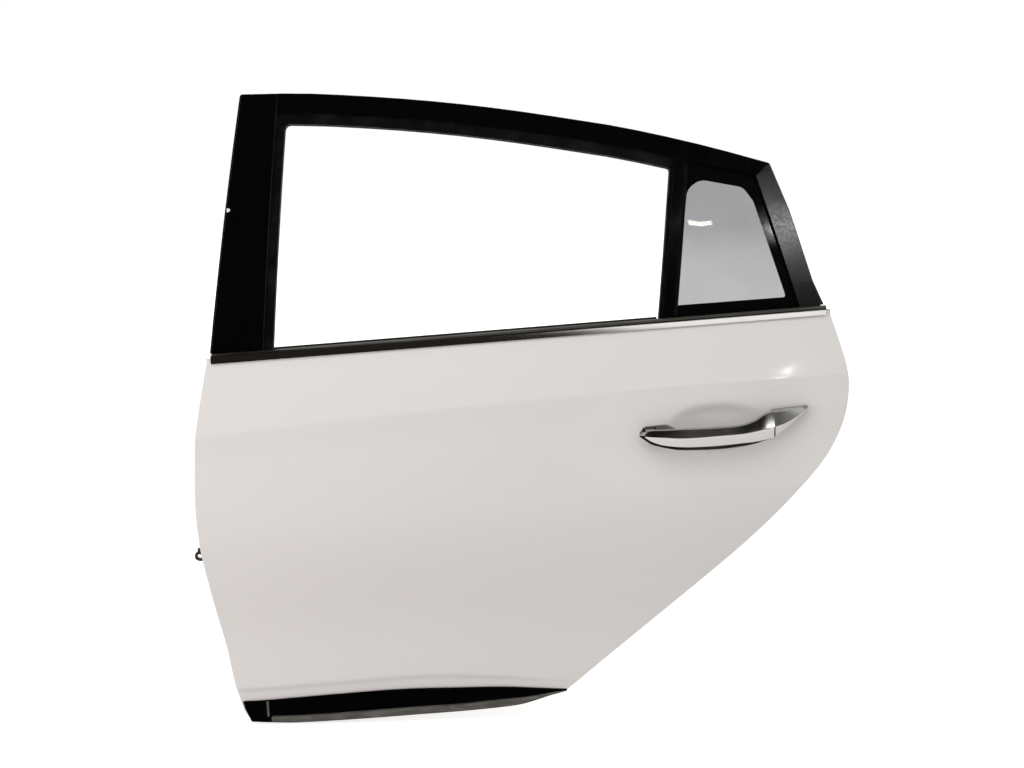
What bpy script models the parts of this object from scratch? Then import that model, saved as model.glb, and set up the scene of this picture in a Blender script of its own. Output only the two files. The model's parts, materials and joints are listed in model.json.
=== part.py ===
"""Rear left car door shell, modelled in metres.

X runs towards the rear of the car, Y inboard and Z up. The origin is the middle
of the lower hinge's bolting face on the front shut face. The window frame, the
glasses and their seals are drawn flat, on the developed glass, and are then
wrapped round the glass cylinder, about whose axis the drop glass moves.
"""
import math

import bmesh
import bpy
from mathutils import Matrix, Vector

# Sheets and clearances
SHEET = 0.0009
SEAT_GAP = 0.0003
RUN_GAP = 0.0010
CUT_REACH = 0.020

# Glass cylinder: the drop glass slides up along the lean, round a far axis
GLASS_LEAN = math.radians(4.0)
GLASS_RADIUS = 2.0
GLASS_AXIS_Y = 1.9723
GLASS_AXIS_HEIGHT = 0.1220
GLASS_THICKNESS = 0.0032
LIFT_ANGLE = math.radians(11.4)
WRAP_STEP = 0.045
ARC_STEPS = 4

# Belt line, as a height over X, and the skin's stand-off from the glass there
BELT_HEIGHT = 0.462
BELT_SLOPE = 0.0743
SKIN_STANDOFF = 0.016
BELT_FLANGE = 0.009

# Feature lines of the skin, as heights over X
CREASE_HEIGHT = 0.350
CREASE_SLOPE = 0.135
CREASE_BEND = -0.042
LOWER_CREASE = [(-0.05, -0.144), (0.006, -0.140), (0.160, -0.127), (0.340, -0.1125),
                (0.477, -0.117), (0.606, -0.129), (0.90, -0.131), (1.2, -0.131)]
BOTTOM_EDGE = [(-0.05, -0.206), (0.045, -0.2072), (0.110, -0.2080), (0.307, -0.1948),
               (0.504, -0.1765), (0.597, -0.150), (0.90, -0.152), (1.2, -0.152)]

# Front and rear edges of the skin, as X over height
FRONT_EDGE = [(-0.215, 0.027), (-0.1893, 0.0113), (-0.1125, -0.0046), (-0.0649, -0.0107),
              (0.0089, -0.0225), (0.0851, -0.0325), (0.157, -0.0405), (0.223, -0.0436),
              (0.286, -0.0422), (0.348, -0.0374), (0.424, -0.0257), (0.462, -0.0192), (0.50, -0.0125)]
REAR_EDGE = [(-0.16, 0.585), (-0.124, 0.6222), (-0.027, 0.728), (0.0674, 0.8244), (0.1646, 0.918),
             (0.2563, 0.9979), (0.2987, 1.030), (0.3408, 1.0515), (0.3811, 1.0638),
             (0.4226, 1.0664), (0.4613, 1.0610), (0.499, 1.0493), (0.54, 1.035), (0.58, 1.018)]

# Depth of the skin outboard of the belt, belt to crease and crease to lower crease
SHOULDER_SECTION = [(0.0, 0.0), (0.5, -0.024), (1.0, -0.044)]
SIDE_SECTION = [(0.0, -0.044), (0.03, -0.0452), (0.09, -0.048), (0.21, -0.058), (0.38, -0.068),
                (0.50, -0.0665), (0.63, -0.060), (0.75, -0.054), (0.86, -0.053), (1.0, -0.057)]
SILL_STEP = 0.0028
SILL_LEAN = 0.0020
SILL_BAND = 0.067
PLAN_BOW = 0.006
DOOR_MIDDLE = 0.51
DOOR_HALF_LENGTH = 0.55

# Rows and columns of the skin's net; the close ones cross the handle's recess
SHOULDER_ROWS = [0.0, 0.25, 0.5, 0.75]
SIDE_ROWS = [0.0, 0.03, 0.05, 0.07, 0.09, 0.11, 0.13, 0.15, 0.17, 0.20, 0.28, 0.38, 0.50, 0.63, 0.79, 0.90]
SILL_ROWS = [0.0, 0.10, 0.60, 1.0]
WIDE_COLUMNS = 8
RECESS_SPAN = (0.735, 0.905)
RECESS_COLUMNS = 9
END_COLUMN = 0.955

# Hem of the skin round the inner panel's flange
HEM_WIDTH = 0.007
HEM_CLEARANCE = 0.0004
HEM_DEPTH = 3.0 * SHEET + 2.0 * HEM_CLEARANCE
HEM_MOST = 0.6

# Inner panel
FRONT_FLANGE = 0.014
REAR_FLANGE = 0.028
LATCH_FACE_X = 1.030
INNER_FACE_Y = 0.070
SHUT_STEP = 0.030
SEAL_LAND = 0.016
WALL_DRAFT = 0.003
FLANGE_BEND = 0.0012
INNER_BELT_DROP = 0.010

# Hinge pads on the front shut face, the lower one at the origin
HINGE_SPACING = 0.380
HINGE_PLATE = (0.072, 0.052)
HINGE_PLATE_THICKNESS = 0.004
HINGE_BOLT_SPACING = 0.050
HINGE_BOLT_RADIUS = 0.0045

# Window frame, drawn on the glass: S along the belt, H up the glass
FRAME_TOP = [(-0.0204, 0.9105), (0.080, 0.9195), (0.170, 0.9223), (0.260, 0.9228), (0.350, 0.9208),
             (0.442, 0.9160), (0.534, 0.9088), (0.625, 0.9005), (0.755, 0.8812), (0.8747, 0.8580)]
FRAME_FRONT = (-0.0476, 0.477)
FRAME_REAR = [(0.9128, 0.7830), (0.9629, 0.6656)]
FRAME_REAR_FOOT = 0.981
REAR_KNEE = 0.634
OPENING_FRONT = 0.058
OPENING_REAR = 0.707
OPENING_DROP = 0.0515
OPENING_CORNER = 0.009
HEADER_DEPTH = 0.032
HEADER_STEP = 0.050
POST_EDGE = 0.0425
CHANNEL_DEPTH = 0.0145
CHANNEL_WALL = 0.0030
CHANNEL_LIP = 0.0035
CHANNEL_BACK = 0.0058
LIP_GAP = 0.0005
FRAME_FLANGE = 0.0015
FRAME_INNER_DEPTH = 0.028
FRAME_BACKING = 0.006
TRIM_THICKNESS = 0.0027
TRIM_INSET = 0.003
TRIM_FOOT = 0.006
POST_CLEARANCE = 0.014
POST_INSET = 0.012
FOOT_INSET = 0.0185
SASH_FOOT_FRONT = 0.037
SASH_FOOT_REAR = 0.122
SASH_WIDTH = 0.022
SASH_WALL = 0.0027
FOOT_DEPTH = 0.0078
POST_FOOT = 0.372
QUARTER_TOP = [(0.7378, 0.8500), (0.8462, 0.8390), (0.8525, 0.8325)]
QUARTER_REAR = (0.9364, 0.6365)
QUARTER_SEAL_WIDTH = 0.010
QUARTER_LIP = 0.0026
QUARTER_SILL = 0.012
SILL_RAIL = 0.024
DIVIDER_FACE = (0.713, 0.7325)

# Belt mouldings
MOULDING_FACE = 0.0125
MOULDING_PROUD = 0.0035
MOULDING_WALL = 0.0012
MOULDING_SPAN = (-0.0105, 1.0270)
BELT_LIP_HEIGHT = 0.0030
RAIL_SHEET = 0.0012
OUTER_RAIL_DEPTH = 0.046
INNER_RAIL_DEPTH = 0.028
INNER_RAIL_GAP = 0.012

# Drop glass and regulator
GLASS_INSERTION = 0.012
GLASS_FOOT = 0.055
RAIL_PLACE = 0.360
RAIL_WIDTH = 0.030
RAIL_FOOT = 0.040
RAIL_HEAD = 0.457
RAIL_STANDOFF = 0.022
RAIL_SECTION = 0.012
RAIL_WALL = 0.0015
RAIL_FOOT_HALF = 0.010
CLAMP_WALL = 0.004
CLAMP_WIDTH = 0.070
MOTOR_HEIGHT = 0.407
MOTOR_SHIFT = 0.110
MOTOR_DEPTH = 0.032
DRUM_RADIUS = 0.032
MOTOR_RADIUS = 0.0175
MOTOR_LENGTH = 0.100

# Outside handle, in its own frame on the skin: U rearwards, V up, N out
HANDLE_LENGTH = 0.2215
HANDLE_HEIGHT = 0.353
HANDLE_TO_LATCH = 0.095
HANDLE_START = (LATCH_FACE_X - HANDLE_TO_LATCH - HANDLE_LENGTH, HANDLE_HEIGHT)
HANDLE_RISE = 0.044
HANDLE_PIVOT = (0.016, -0.010)
HANDLE_MIDDLE = HANDLE_START[0] + HANDLE_LENGTH / 2.0

# Recess of the skin behind the grip, from the handle's middle
RECESS_PLACE = (HANDLE_MIDDLE + 0.024, HANDLE_START[1] + 0.009)
RECESS_REACH = (0.088, 0.037)
RECESS_DEPTH = 0.020
RECESS_SHARE = 0.6
HANDLE_SWING = math.radians(7.0)

# Grip sections: share of the length, lowest V, top V of the face, top V behind, outer N
GRIP_SECTIONS = [(0.018, -0.006, 0.002, 0.006, 0.026), (0.063, -0.013, 0.002, 0.010, 0.030),
                 (0.158, -0.019, 0.001, 0.011, 0.034), (0.271, -0.0235, -0.001, 0.0112, 0.037),
                 (0.442, -0.0252, -0.001, 0.0105, 0.038), (0.596, -0.0255, 0.0, 0.0105, 0.038),
                 (0.745, -0.0230, 0.001, 0.012, 0.038), (0.858, -0.0195, 0.004, 0.019, 0.037),
                 (0.930, -0.0150, 0.007, 0.028, 0.036), (1.0, -0.0110, 0.009, 0.032, 0.035)]
GRIP_BACK = 0.020
GRIP_END_BACK = 0.014
GRIP_END = 0.035

# Cap sections, as the grip's, with U from the grip's rear end
CAP_SECTIONS = [(0.0010, -0.0110, 0.009, 0.032, 0.035), (0.0185, 0.0, 0.016, 0.033, 0.030),
                (0.0365, 0.012, 0.021, 0.033, 0.022), (0.0540, 0.024, 0.028, 0.032, 0.008)]

# Insert in the grip's face: share of the grip's length, lowest V and highest V
INSERT_SECTIONS = [(0.036, -0.0005, 0.0012), (0.090, -0.0095, 0.0007), (0.167, -0.0148, 0.0002),
                   (0.293, -0.0180, -0.0016), (0.442, -0.0200, -0.0016), (0.596, -0.0204, -0.0006),
                   (0.745, -0.0190, 0.0004), (0.858, -0.0160, 0.0033), (0.993, -0.0090, 0.0081)]
INSERT_THICKNESS = 0.0014
INSERT_PROUD = 0.0005

# Legs of the grip, the hole each passes and the chassis behind the skin
LEG_SIZE = (0.016, 0.012)
LEG_REACH = 0.040
LEG_HOLE = 0.0135
PIVOT_RADIUS = 0.002
CHASSIS_FACE = 0.0255
CHASSIS_THICKNESS = 0.004
WEB_SPAN = (0.23, 0.77)
CAP_STUD = (HANDLE_LENGTH + 0.028, 0.018, 0.0045)
GASKET_WIDTH = 0.0045
GASKET_THICKNESS = 0.0014
LEVER_PIVOT = (HANDLE_LENGTH + 0.0405, -0.0355)
LEVER_THICKNESS = 0.003
LEVER_CLEARANCE = 0.002
LEVER_HUB_HALF = 0.002
LUG_THICKNESS = 0.003
TOE_LENGTH = 0.006

# Latch, with its claw's pivot as Y and height over the latch's middle
LATCH_OVER_HANDLE = 0.059
LATCH_HEIGHT = HANDLE_HEIGHT + LATCH_OVER_HANDLE
LATCH_Y = (-0.022, 0.0375)
LATCH_DEPTH = 0.028
LATCH_HALF_HEIGHT = 0.046
LATCH_SLOT = 0.020
CLAW_PIVOT = (0.008, -0.013)
CLAW_RADIUS = 0.024
CLAW_THICKNESS = 0.006
CLAW_BOSS = 0.004
CLAW_THROAT = 0.011
CLAW_CLEARANCE = 0.0025

# Door check
CHECK_HEIGHT = 0.084
CHECK_Y = 0.014
CHECK_EYE_X = -0.067
CHECK_ARM_LENGTH = 0.175
CHECK_ARM = (0.005, 0.018)
CHECK_BOX = (0.030, 0.040, 0.042)
CHECK_CLEARANCE = 0.002

# Impact beam
BEAM_FRONT = (0.048, -0.058, 0.190)
BEAM_REAR = (0.858, -0.0425, 0.255)
BEAM_RADIUS = 0.013
BEAM_WALL = 0.002
BRACKET_THICKNESS = 0.003
BRACKET_HALF_HEIGHT = 0.030
BRACKET_OVERLAP = 0.050

# Openings of the inner panel, in the side view
SPEAKER_HOLE = (0.160, -0.030, 0.075)
MAIN_ACCESS = (0.285, 0.050, 0.620, 0.315)
REAR_ACCESS = (0.665, 0.160, 0.860, 0.330)
ACCESS_CORNER = 0.030

# Garnish along the skin's foot: X, share of the scoop, of the lip, and how proud
GARNISH_TOP = [(0.0098, -0.1657), (0.046, -0.1635), (0.158, -0.153), (0.294, -0.142),
               (0.403, -0.140), (0.495, -0.140), (0.595, -0.1458)]
GARNISH_SHAPE = [(0.0098, 2.1, 0.27, 0.0042), (0.044, 2.1, 0.27, 0.005), (0.066, 0.75, 0.27, 0.005),
                 (0.156, 0.75, 0.266, 0.005), (0.293, 0.75, 0.284, 0.005), (0.402, 0.75, 0.30, 0.005),
                 (0.486, 0.75, 0.38, 0.0048), (0.540, 0.85, 0.40, 0.0042), (0.585, 1.1, 0.42, 0.0030)]
GARNISH_LIP = 0.0105
GARNISH_SKEW = 0.354

# Weatherstrip round the back
STRIP_RADIUS = 0.006


# Curves and surfaces the pieces share

def spline(points, t):
    """Smooth curve through the points, read at t as a table of first over second."""
    if t <= points[0][0]:
        return points[0][1]
    if t >= points[-1][0]:
        return points[-1][1]
    slopes = []
    for k in range(len(points)):
        a = points[max(k - 1, 0)]
        b = points[min(k + 1, len(points) - 1)]
        slopes.append((b[1] - a[1]) / (b[0] - a[0]))
    k = max(i for i in range(len(points) - 1) if points[i][0] <= t)
    (x0, y0), (x1, y1) = points[k], points[k + 1]
    step = x1 - x0
    u = (t - x0) / step
    blend = u * u * (3.0 - 2.0 * u)
    return (y0 * (1.0 - blend) + y1 * blend
            + step * slopes[k] * u * (1.0 - u) ** 2 - step * slopes[k + 1] * u * u * (1.0 - u))


def lerp(a, b, t):
    return a + (b - a) * t


def belt_z(x):
    return BELT_HEIGHT + BELT_SLOPE * x


def crease_z(x):
    return CREASE_HEIGHT + CREASE_SLOPE * x + CREASE_BEND * x * x


def level_z(level, x):
    """Height of a row: 0 at the belt, 1 crease, 2 lower crease, 3 bottom edge."""
    lines = [belt_z(x), crease_z(x), spline(LOWER_CREASE, x), spline(BOTTOM_EDGE, x)]
    k = min(int(level), 2)
    return lerp(lines[k], lines[k + 1], level - k)


def level_at(x, z):
    """Row level of a point, the inverse of level_z."""
    lines = [belt_z(x), crease_z(x), spline(LOWER_CREASE, x), spline(BOTTOM_EDGE, x)]
    for k in range(3):
        if z >= lines[k + 1] or k == 2:
            return k + (lines[k] - z) / (lines[k] - lines[k + 1])


def glass_y(x, z, outboard=0.0):
    """Depth of the glass cylinder at a point of the side view."""
    across = x * math.sin(GLASS_LEAN) + z * math.cos(GLASS_LEAN) - GLASS_AXIS_HEIGHT
    return GLASS_AXIS_Y - math.sqrt((GLASS_RADIUS + outboard) ** 2 - across ** 2)


def on_glass(s, h, d):
    """Point at s along the belt, h up the glass and d outboard of its outer face."""
    angle = (h - GLASS_AXIS_HEIGHT) / GLASS_RADIUS
    radius = GLASS_RADIUS + d
    up = GLASS_AXIS_HEIGHT + radius * math.sin(angle)
    return Vector((s * math.cos(GLASS_LEAN) + up * math.sin(GLASS_LEAN),
                   GLASS_AXIS_Y - radius * math.cos(angle),
                   up * math.cos(GLASS_LEAN) - s * math.sin(GLASS_LEAN)))


def to_glass(x, z):
    """S and H of the point of the glass at a place in the side view."""
    s = x * math.cos(GLASS_LEAN) - z * math.sin(GLASS_LEAN)
    up = x * math.sin(GLASS_LEAN) + z * math.cos(GLASS_LEAN) - GLASS_AXIS_HEIGHT
    return s, GLASS_AXIS_HEIGHT + GLASS_RADIUS * math.asin(up / GLASS_RADIUS)


def belt_h(s):
    """Belt line on the developed glass."""
    front = to_glass(0.0, belt_z(0.0))
    rear = to_glass(1.0, belt_z(1.0))
    return lerp(front[1], rear[1], (s - front[0]) / (rear[0] - front[0]))


def header_h(s):
    """Top edge of the window frame on the developed glass, straight between its stops."""
    stop = math.floor(s / HEADER_STEP)
    return lerp(spline(FRAME_TOP, stop * HEADER_STEP), spline(FRAME_TOP, (stop + 1) * HEADER_STEP),
                s / HEADER_STEP - stop)


def skin_y(x, z, inboard=0.0):
    """Depth of the skin's outer face at a point of the side view."""
    level = level_at(x, z)
    belt = glass_y(x, belt_z(x), SKIN_STANDOFF)
    if level <= 1.0:
        depth = spline(SHOULDER_SECTION, level)
    elif level <= 2.0:
        depth = spline(SIDE_SECTION, level - 1.0)
    else:
        band = (spline(LOWER_CREASE, x) - spline(BOTTOM_EDGE, x)) / SILL_BAND
        share = level - 2.0
        step = SILL_STEP * min(share / SILL_ROWS[1], 1.0) * min(band, 1.0) ** 2
        depth = SIDE_SECTION[-1][1] + step + SILL_LEAN * share * min(band, 1.0)
    crown = 1.0 - ((x - DOOR_MIDDLE) / DOOR_HALF_LENGTH) ** 2
    return belt + depth - PLAN_BOW * crown * min(max(level, 0.0), 1.0) + inboard


def skin_point(x, z, inboard=0.0):
    return Vector((x, skin_y(x, z, inboard), z))


def edge_x(table, level, inset=0.0):
    """Where a row meets the front or rear edge, moved in by an inset."""
    x = spline(table, 0.0)
    for _ in range(12):
        x = spline(table, level_z(level, x)) + inset
    return x


def front_wall_x(z):
    return max(0.0, spline(FRONT_EDGE, z) + FRONT_FLANGE)


def rear_wall_x(z):
    return min(LATCH_FACE_X, spline(REAR_EDGE, z) - REAR_FLANGE)


def latch_face():
    """Where the latch's face is flat against the rear shut face, over its whole height."""
    return min(rear_wall_x(LATCH_HEIGHT + side * LATCH_HALF_HEIGHT) for side in (-1.0, 1.0))


def wall_x(wall, level):
    x = wall(0.0)
    for _ in range(12):
        x = wall(level_z(level, x))
    return x


# Making objects

for stale in list(bpy.data.objects):
    bpy.data.objects.remove(stale)

parts = bpy.data.collections.new("car_door_shell")
cutters = bpy.data.collections.new("cutters")
bpy.context.scene.collection.children.link(parts)
bpy.context.scene.collection.children.link(cutters)


def material(name, colour, roughness, metallic=0.0, transmission=0.0, coat=0.0):
    made = bpy.data.materials.new(name)
    made.use_nodes = True
    shader = made.node_tree.nodes["Principled BSDF"]
    shader.inputs["Base Color"].default_value = (*colour, 1.0)
    shader.inputs["Roughness"].default_value = roughness
    shader.inputs["Metallic"].default_value = metallic
    shader.inputs["Transmission Weight"].default_value = transmission
    shader.inputs["Coat Weight"].default_value = coat
    made.diffuse_color = (*colour, 1.0)
    return made


PAINT = material("pearl_white_paint", (0.78, 0.75, 0.72), 0.25, coat=1.0)
GLOSS_BLACK = material("gloss_black_trim", (0.006, 0.006, 0.007), 0.12, coat=1.0)
SATIN_BLACK = material("satin_black_paint", (0.012, 0.012, 0.013), 0.35)
RUBBER = material("black_rubber", (0.014, 0.014, 0.015), 0.7)
PLASTIC = material("black_plastic", (0.018, 0.018, 0.020), 0.5)
CHROME = material("bright_chrome", (0.72, 0.72, 0.71), 0.08, 1.0)
PRIVACY_GLASS = material("grey_glass", (0.35, 0.35, 0.36), 0.03, transmission=0.8)
CLEAR_GLASS = material("green_glass", (0.60, 0.70, 0.66), 0.03, transmission=0.9)
ZINC = material("zinc_steel", (0.55, 0.55, 0.53), 0.35, 1.0)


def add_object(name, mesh, look, smooth_angle=35.0):
    made = bpy.data.objects.new(name, mesh)
    parts.objects.link(made)
    if look:
        mesh.materials.clear()
        mesh.materials.append(look)
    mesh.shade_smooth()
    mesh.set_sharp_from_angle(angle=math.radians(smooth_angle))
    return made


def to_mesh(bm, name):
    bmesh.ops.remove_doubles(bm, verts=bm.verts, dist=0.00001)
    bmesh.ops.recalc_face_normals(bm, faces=bm.faces)
    mesh = bpy.data.meshes.new(name)
    bm.to_mesh(mesh)
    bm.free()
    return mesh


def read_mesh(item):
    """Mesh of an object with its modifiers applied."""
    graph = bpy.context.evaluated_depsgraph_get()
    return bpy.data.meshes.new_from_object(item.evaluated_get(graph))


def settle(item):
    """Apply an object's modifiers to its own mesh."""
    mesh = read_mesh(item)
    item.modifiers.clear()
    item.data = mesh
    return item


def combine(item, others, operation="DIFFERENCE"):
    """Boolean of an item with closed solids, applied."""
    for other in others:
        change = item.modifiers.new(operation.lower(), "BOOLEAN")
        change.operation = operation
        change.object = other
        change.solver = "EXACT"
        settle(item)
        other.hide_render = True
        other.display_type = "WIRE"
        if other.name in parts.objects:
            parts.objects.unlink(other)
            cutters.objects.link(other)
    return item


def loft(name, sections, look, closed=False, smooth_angle=35.0):
    """Solid through equal-sized rings of points; closed joins the last to the first."""
    bm = bmesh.new()
    rings = [[bm.verts.new(p) for p in section] for section in sections]
    pairs = list(zip(rings, rings[1:])) + ([(rings[-1], rings[0])] if closed else [])
    for a, b in pairs:
        for k in range(len(a)):
            n = (k + 1) % len(a)
            bm.faces.new((a[k], a[n], b[n], b[k]))
    if not closed:
        bm.faces.new(rings[0][::-1])
        bm.faces.new(rings[-1])
    return add_object(name, to_mesh(bm, name), look, smooth_angle)


def box(name, low, high, look=None):
    bm = bmesh.new()
    middle = (Vector(low) + Vector(high)) / 2.0
    size = Vector(high) - Vector(low)
    bmesh.ops.create_cube(bm, size=1.0, matrix=Matrix.Translation(middle) @ Matrix.Diagonal((*size, 1.0)))
    return add_object(name, to_mesh(bm, name), look)


def cylinder(name, start, end, radius, look=None, sides=20):
    start, end = Vector(start), Vector(end)
    along = end - start
    bm = bmesh.new()
    turn = along.to_track_quat("Z", "Y").to_matrix().to_4x4()
    place = Matrix.Translation((start + end) / 2.0) @ turn
    bmesh.ops.create_cone(bm, cap_ends=True, segments=sides, radius1=radius, radius2=radius,
                          depth=along.length, matrix=place)
    return add_object(name, to_mesh(bm, name), look)


def outline(points):
    """Closed outline of (x, y) or (x, y, fillet radius) corners, fillets as arcs."""
    made = []
    count = len(points)
    for k, point in enumerate(points):
        here = Vector(point[:2])
        radius = point[2] if len(point) > 2 else 0.0
        if radius <= 0.0:
            made.append(here)
            continue
        back = (Vector(points[k - 1][:2]) - here)
        ahead = (Vector(points[(k + 1) % count][:2]) - here)
        half = back.angle(ahead) / 2.0
        reach = min(radius / math.tan(half), back.length * 0.49, ahead.length * 0.49)
        radius = reach * math.tan(half)
        back.normalize()
        ahead.normalize()
        centre = here + (back + ahead).normalized() * (radius / math.sin(half))
        start = here + back * reach - centre
        sweep = start.angle_signed(here + ahead * reach - centre)
        for step in range(ARC_STEPS + 1):
            turn = Matrix.Rotation(-sweep * step / ARC_STEPS, 2)
            made.append(centre + turn @ start)
    return made


def flat(name, corners, low, high, look=None, holes=()):
    """Plate from a flat outline, between two heights of the third axis."""
    curve = bpy.data.curves.new(name, "CURVE")
    curve.dimensions = "2D"
    curve.fill_mode = "BOTH"
    curve.extrude = (high - low) / 2.0
    curve.resolution_u = 1
    curve.render_resolution_u = 0
    for loop in [corners, *holes]:
        points = outline(loop)
        line = curve.splines.new("POLY")
        line.points.add(len(points) - 1)
        line.use_cyclic_u = True
        for target, point in zip(line.points, points):
            target.co = (point[0], point[1], 0.0, 1.0)
    source = bpy.data.objects.new(name + "_curve", curve)
    parts.objects.link(source)
    bpy.context.view_layer.update()
    mesh = read_mesh(source)
    bpy.data.objects.remove(source)
    mesh.transform(Matrix.Translation((0.0, 0.0, (low + high) / 2.0)))
    bm = bmesh.new()
    bm.from_mesh(mesh)
    bpy.data.meshes.remove(mesh)
    bmesh.ops.dissolve_limit(bm, angle_limit=0.001, verts=bm.verts, edges=bm.edges)
    return add_object(name, to_mesh(bm, name), look)


def turned(item, columns):
    """Turn an object's mesh so its own axes lie along the given ones."""
    item.data.transform(Matrix(columns).transposed().to_4x4())
    if Matrix(columns).determinant() < 0.0:
        item.data.flip_normals()
    return item


def side_plate(name, corners, low, high, look=None):
    """Plate drawn in the side view (x, z), between two depths."""
    return turned(flat(name, corners, low, high, look), ((1, 0, 0), (0, 0, 1), (0, 1, 0)))


def end_plate(name, corners, low, high, look=None):
    """Plate drawn in the end view (y, z), between two places along X."""
    return turned(flat(name, corners, low, high, look), ((0, 1, 0), (0, 0, 1), (1, 0, 0)))


def set_origin(item, place):
    """Put an object's origin on its joint's axis."""
    item.data.transform(Matrix.Translation(-Vector(place)))
    item.location = place
    return item


def table(rows, t):
    """Linear reading of a table of rows whose first value is the place."""
    k = max((i for i in range(len(rows) - 1) if rows[i][0] <= t), default=0)
    share = min(max((t - rows[k][0]) / (rows[k + 1][0] - rows[k][0]), 0.0), 1.0)
    return [lerp(a, b, share) for a, b in zip(rows[k][1:], rows[k + 1][1:])]


def wrap(item):
    """Bend a flat solid, drawn as (s, h, d), round the glass cylinder."""
    bm = bmesh.new()
    bm.from_mesh(item.data)
    lowest = min(v.co.y for v in bm.verts) - GLASS_AXIS_HEIGHT + SEAT_GAP
    highest = max(v.co.y for v in bm.verts) - GLASS_AXIS_HEIGHT - SEAT_GAP
    for k in range(math.floor(lowest / WRAP_STEP) + 1, math.ceil(highest / WRAP_STEP)):
        level = GLASS_AXIS_HEIGHT + k * WRAP_STEP
        bmesh.ops.bisect_plane(bm, geom=[*bm.verts, *bm.edges, *bm.faces], dist=0.000001,
                               plane_co=(0.0, level, 0.0), plane_no=(0.0, 1.0, 0.0))
    bmesh.ops.triangulate(bm, faces=[f for f in bm.faces if len(f.verts) > 4])
    for vert in bm.verts:
        vert.co = on_glass(*vert.co)
    bmesh.ops.recalc_face_normals(bm, faces=bm.faces)
    bm.to_mesh(item.data)
    bm.free()
    item.data.shade_smooth()
    item.data.set_sharp_from_angle(angle=math.radians(35.0))
    return item


# Outer panel: a net through the feature lines, with its edges hemmed

def net_rows():
    return [*SHOULDER_ROWS, *(1.0 + t for t in SIDE_ROWS), *(2.0 + t for t in SILL_ROWS)]


def net_columns():
    """Places of the inner columns, 0 at the front shut face and 1 at the rear one."""
    start, end = RECESS_SPAN
    wide = [start * k / WIDE_COLUMNS for k in range(WIDE_COLUMNS)]
    close = [lerp(start, end, k / RECESS_COLUMNS) for k in range(RECESS_COLUMNS + 1)]
    return [*wide, *close, END_COLUMN, 1.0]


def net_point(column, level):
    """Side view place of a node of the net; column -1 and 2 are the panel's edges."""
    if column < 0.0:
        x = edge_x(FRONT_EDGE, level)
    elif column > 1.0:
        x = edge_x(REAR_EDGE, level)
    else:
        x = lerp(wall_x(front_wall_x, level), wall_x(rear_wall_x, level), column)
    return x, level_z(level, x)


def recess(x, z):
    """Depth of the hand recess below the skin."""
    across = ((x - RECESS_PLACE[0]) / RECESS_REACH[0]) ** 2
    upright = ((z - RECESS_PLACE[1]) / RECESS_REACH[1]) ** 2
    reach = min(max((1.0 - across - upright) / RECESS_SHARE, 0.0), 1.0)
    return RECESS_DEPTH * reach * reach * (3.0 - 2.0 * reach)


def rim_pairs():
    """Edge point and shut face point of the net's outer cells, belt to belt."""
    rows = net_rows()
    columns = net_columns()
    wall_row = rows[-2]
    pairs = [(net_point(-1.0, level), net_point(0.0, level)) for level in rows[:-1]]
    pairs.append((net_point(-1.0, 3.0), net_point(0.0, wall_row)))
    pairs += [(net_point(c, 3.0), net_point(c, wall_row)) for c in columns]
    pairs.append((net_point(2.0, 3.0), net_point(1.0, wall_row)))
    pairs += [(net_point(2.0, level), net_point(1.0, level)) for level in reversed(rows[:-1])]
    return [(skin_point(*edge), skin_point(*wall)) for edge, wall in pairs]


def grow_sheet(name, bm, look, facing, thickness=SHEET):
    """Sheet metal object from an open surface whose good side faces along Y."""
    bmesh.ops.remove_doubles(bm, verts=bm.verts, dist=0.00001)
    bmesh.ops.recalc_face_normals(bm, faces=bm.faces)
    bm.normal_update()
    if sum(f.normal.y * f.calc_area() for f in bm.faces) * facing < 0.0:
        bmesh.ops.reverse_faces(bm, faces=bm.faces)
    mesh = bpy.data.meshes.new(name)
    bm.to_mesh(mesh)
    bm.free()
    made = add_object(name, mesh, look)
    shell = made.modifiers.new("sheet", "SOLIDIFY")
    shell.thickness = thickness
    shell.offset = -1.0
    shell.solidify_mode = "NON_MANIFOLD"
    shell.nonmanifold_thickness_mode = "CONSTRAINTS"
    shell.nonmanifold_merge_threshold = 0.00001
    return settle(made)


def strip(bm, first, second, crossed=lambda k: False):
    """Triangles between two rows of points, split from first to second or crossed."""
    for k in range(len(first) - 1):
        a, b, c, d = first[k], second[k], second[k + 1], first[k + 1]
        halves = ((a, b, d), (b, c, d)) if crossed(k) else ((a, b, c), (a, c, d))
        for half in halves:
            if len(set(half)) == 3:
                bm.faces.new(half)


def rim_share(pairs, k, distance, most=1.0):
    """Share of the way from a rim point to its wall that clears the rim by a distance."""
    edge, wall = pairs[k]
    inward = wall - edge
    share = 0.0
    for near in (max(k - 1, 0), min(k + 1, len(pairs) - 1)):
        run = pairs[near][0] - edge
        if run.length > 0.0:
            clear = abs(inward.x * run.z - inward.z * run.x) / Vector((run.x, run.z)).length
            share = max(share, distance / clear)
    return min(share, most)


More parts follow.
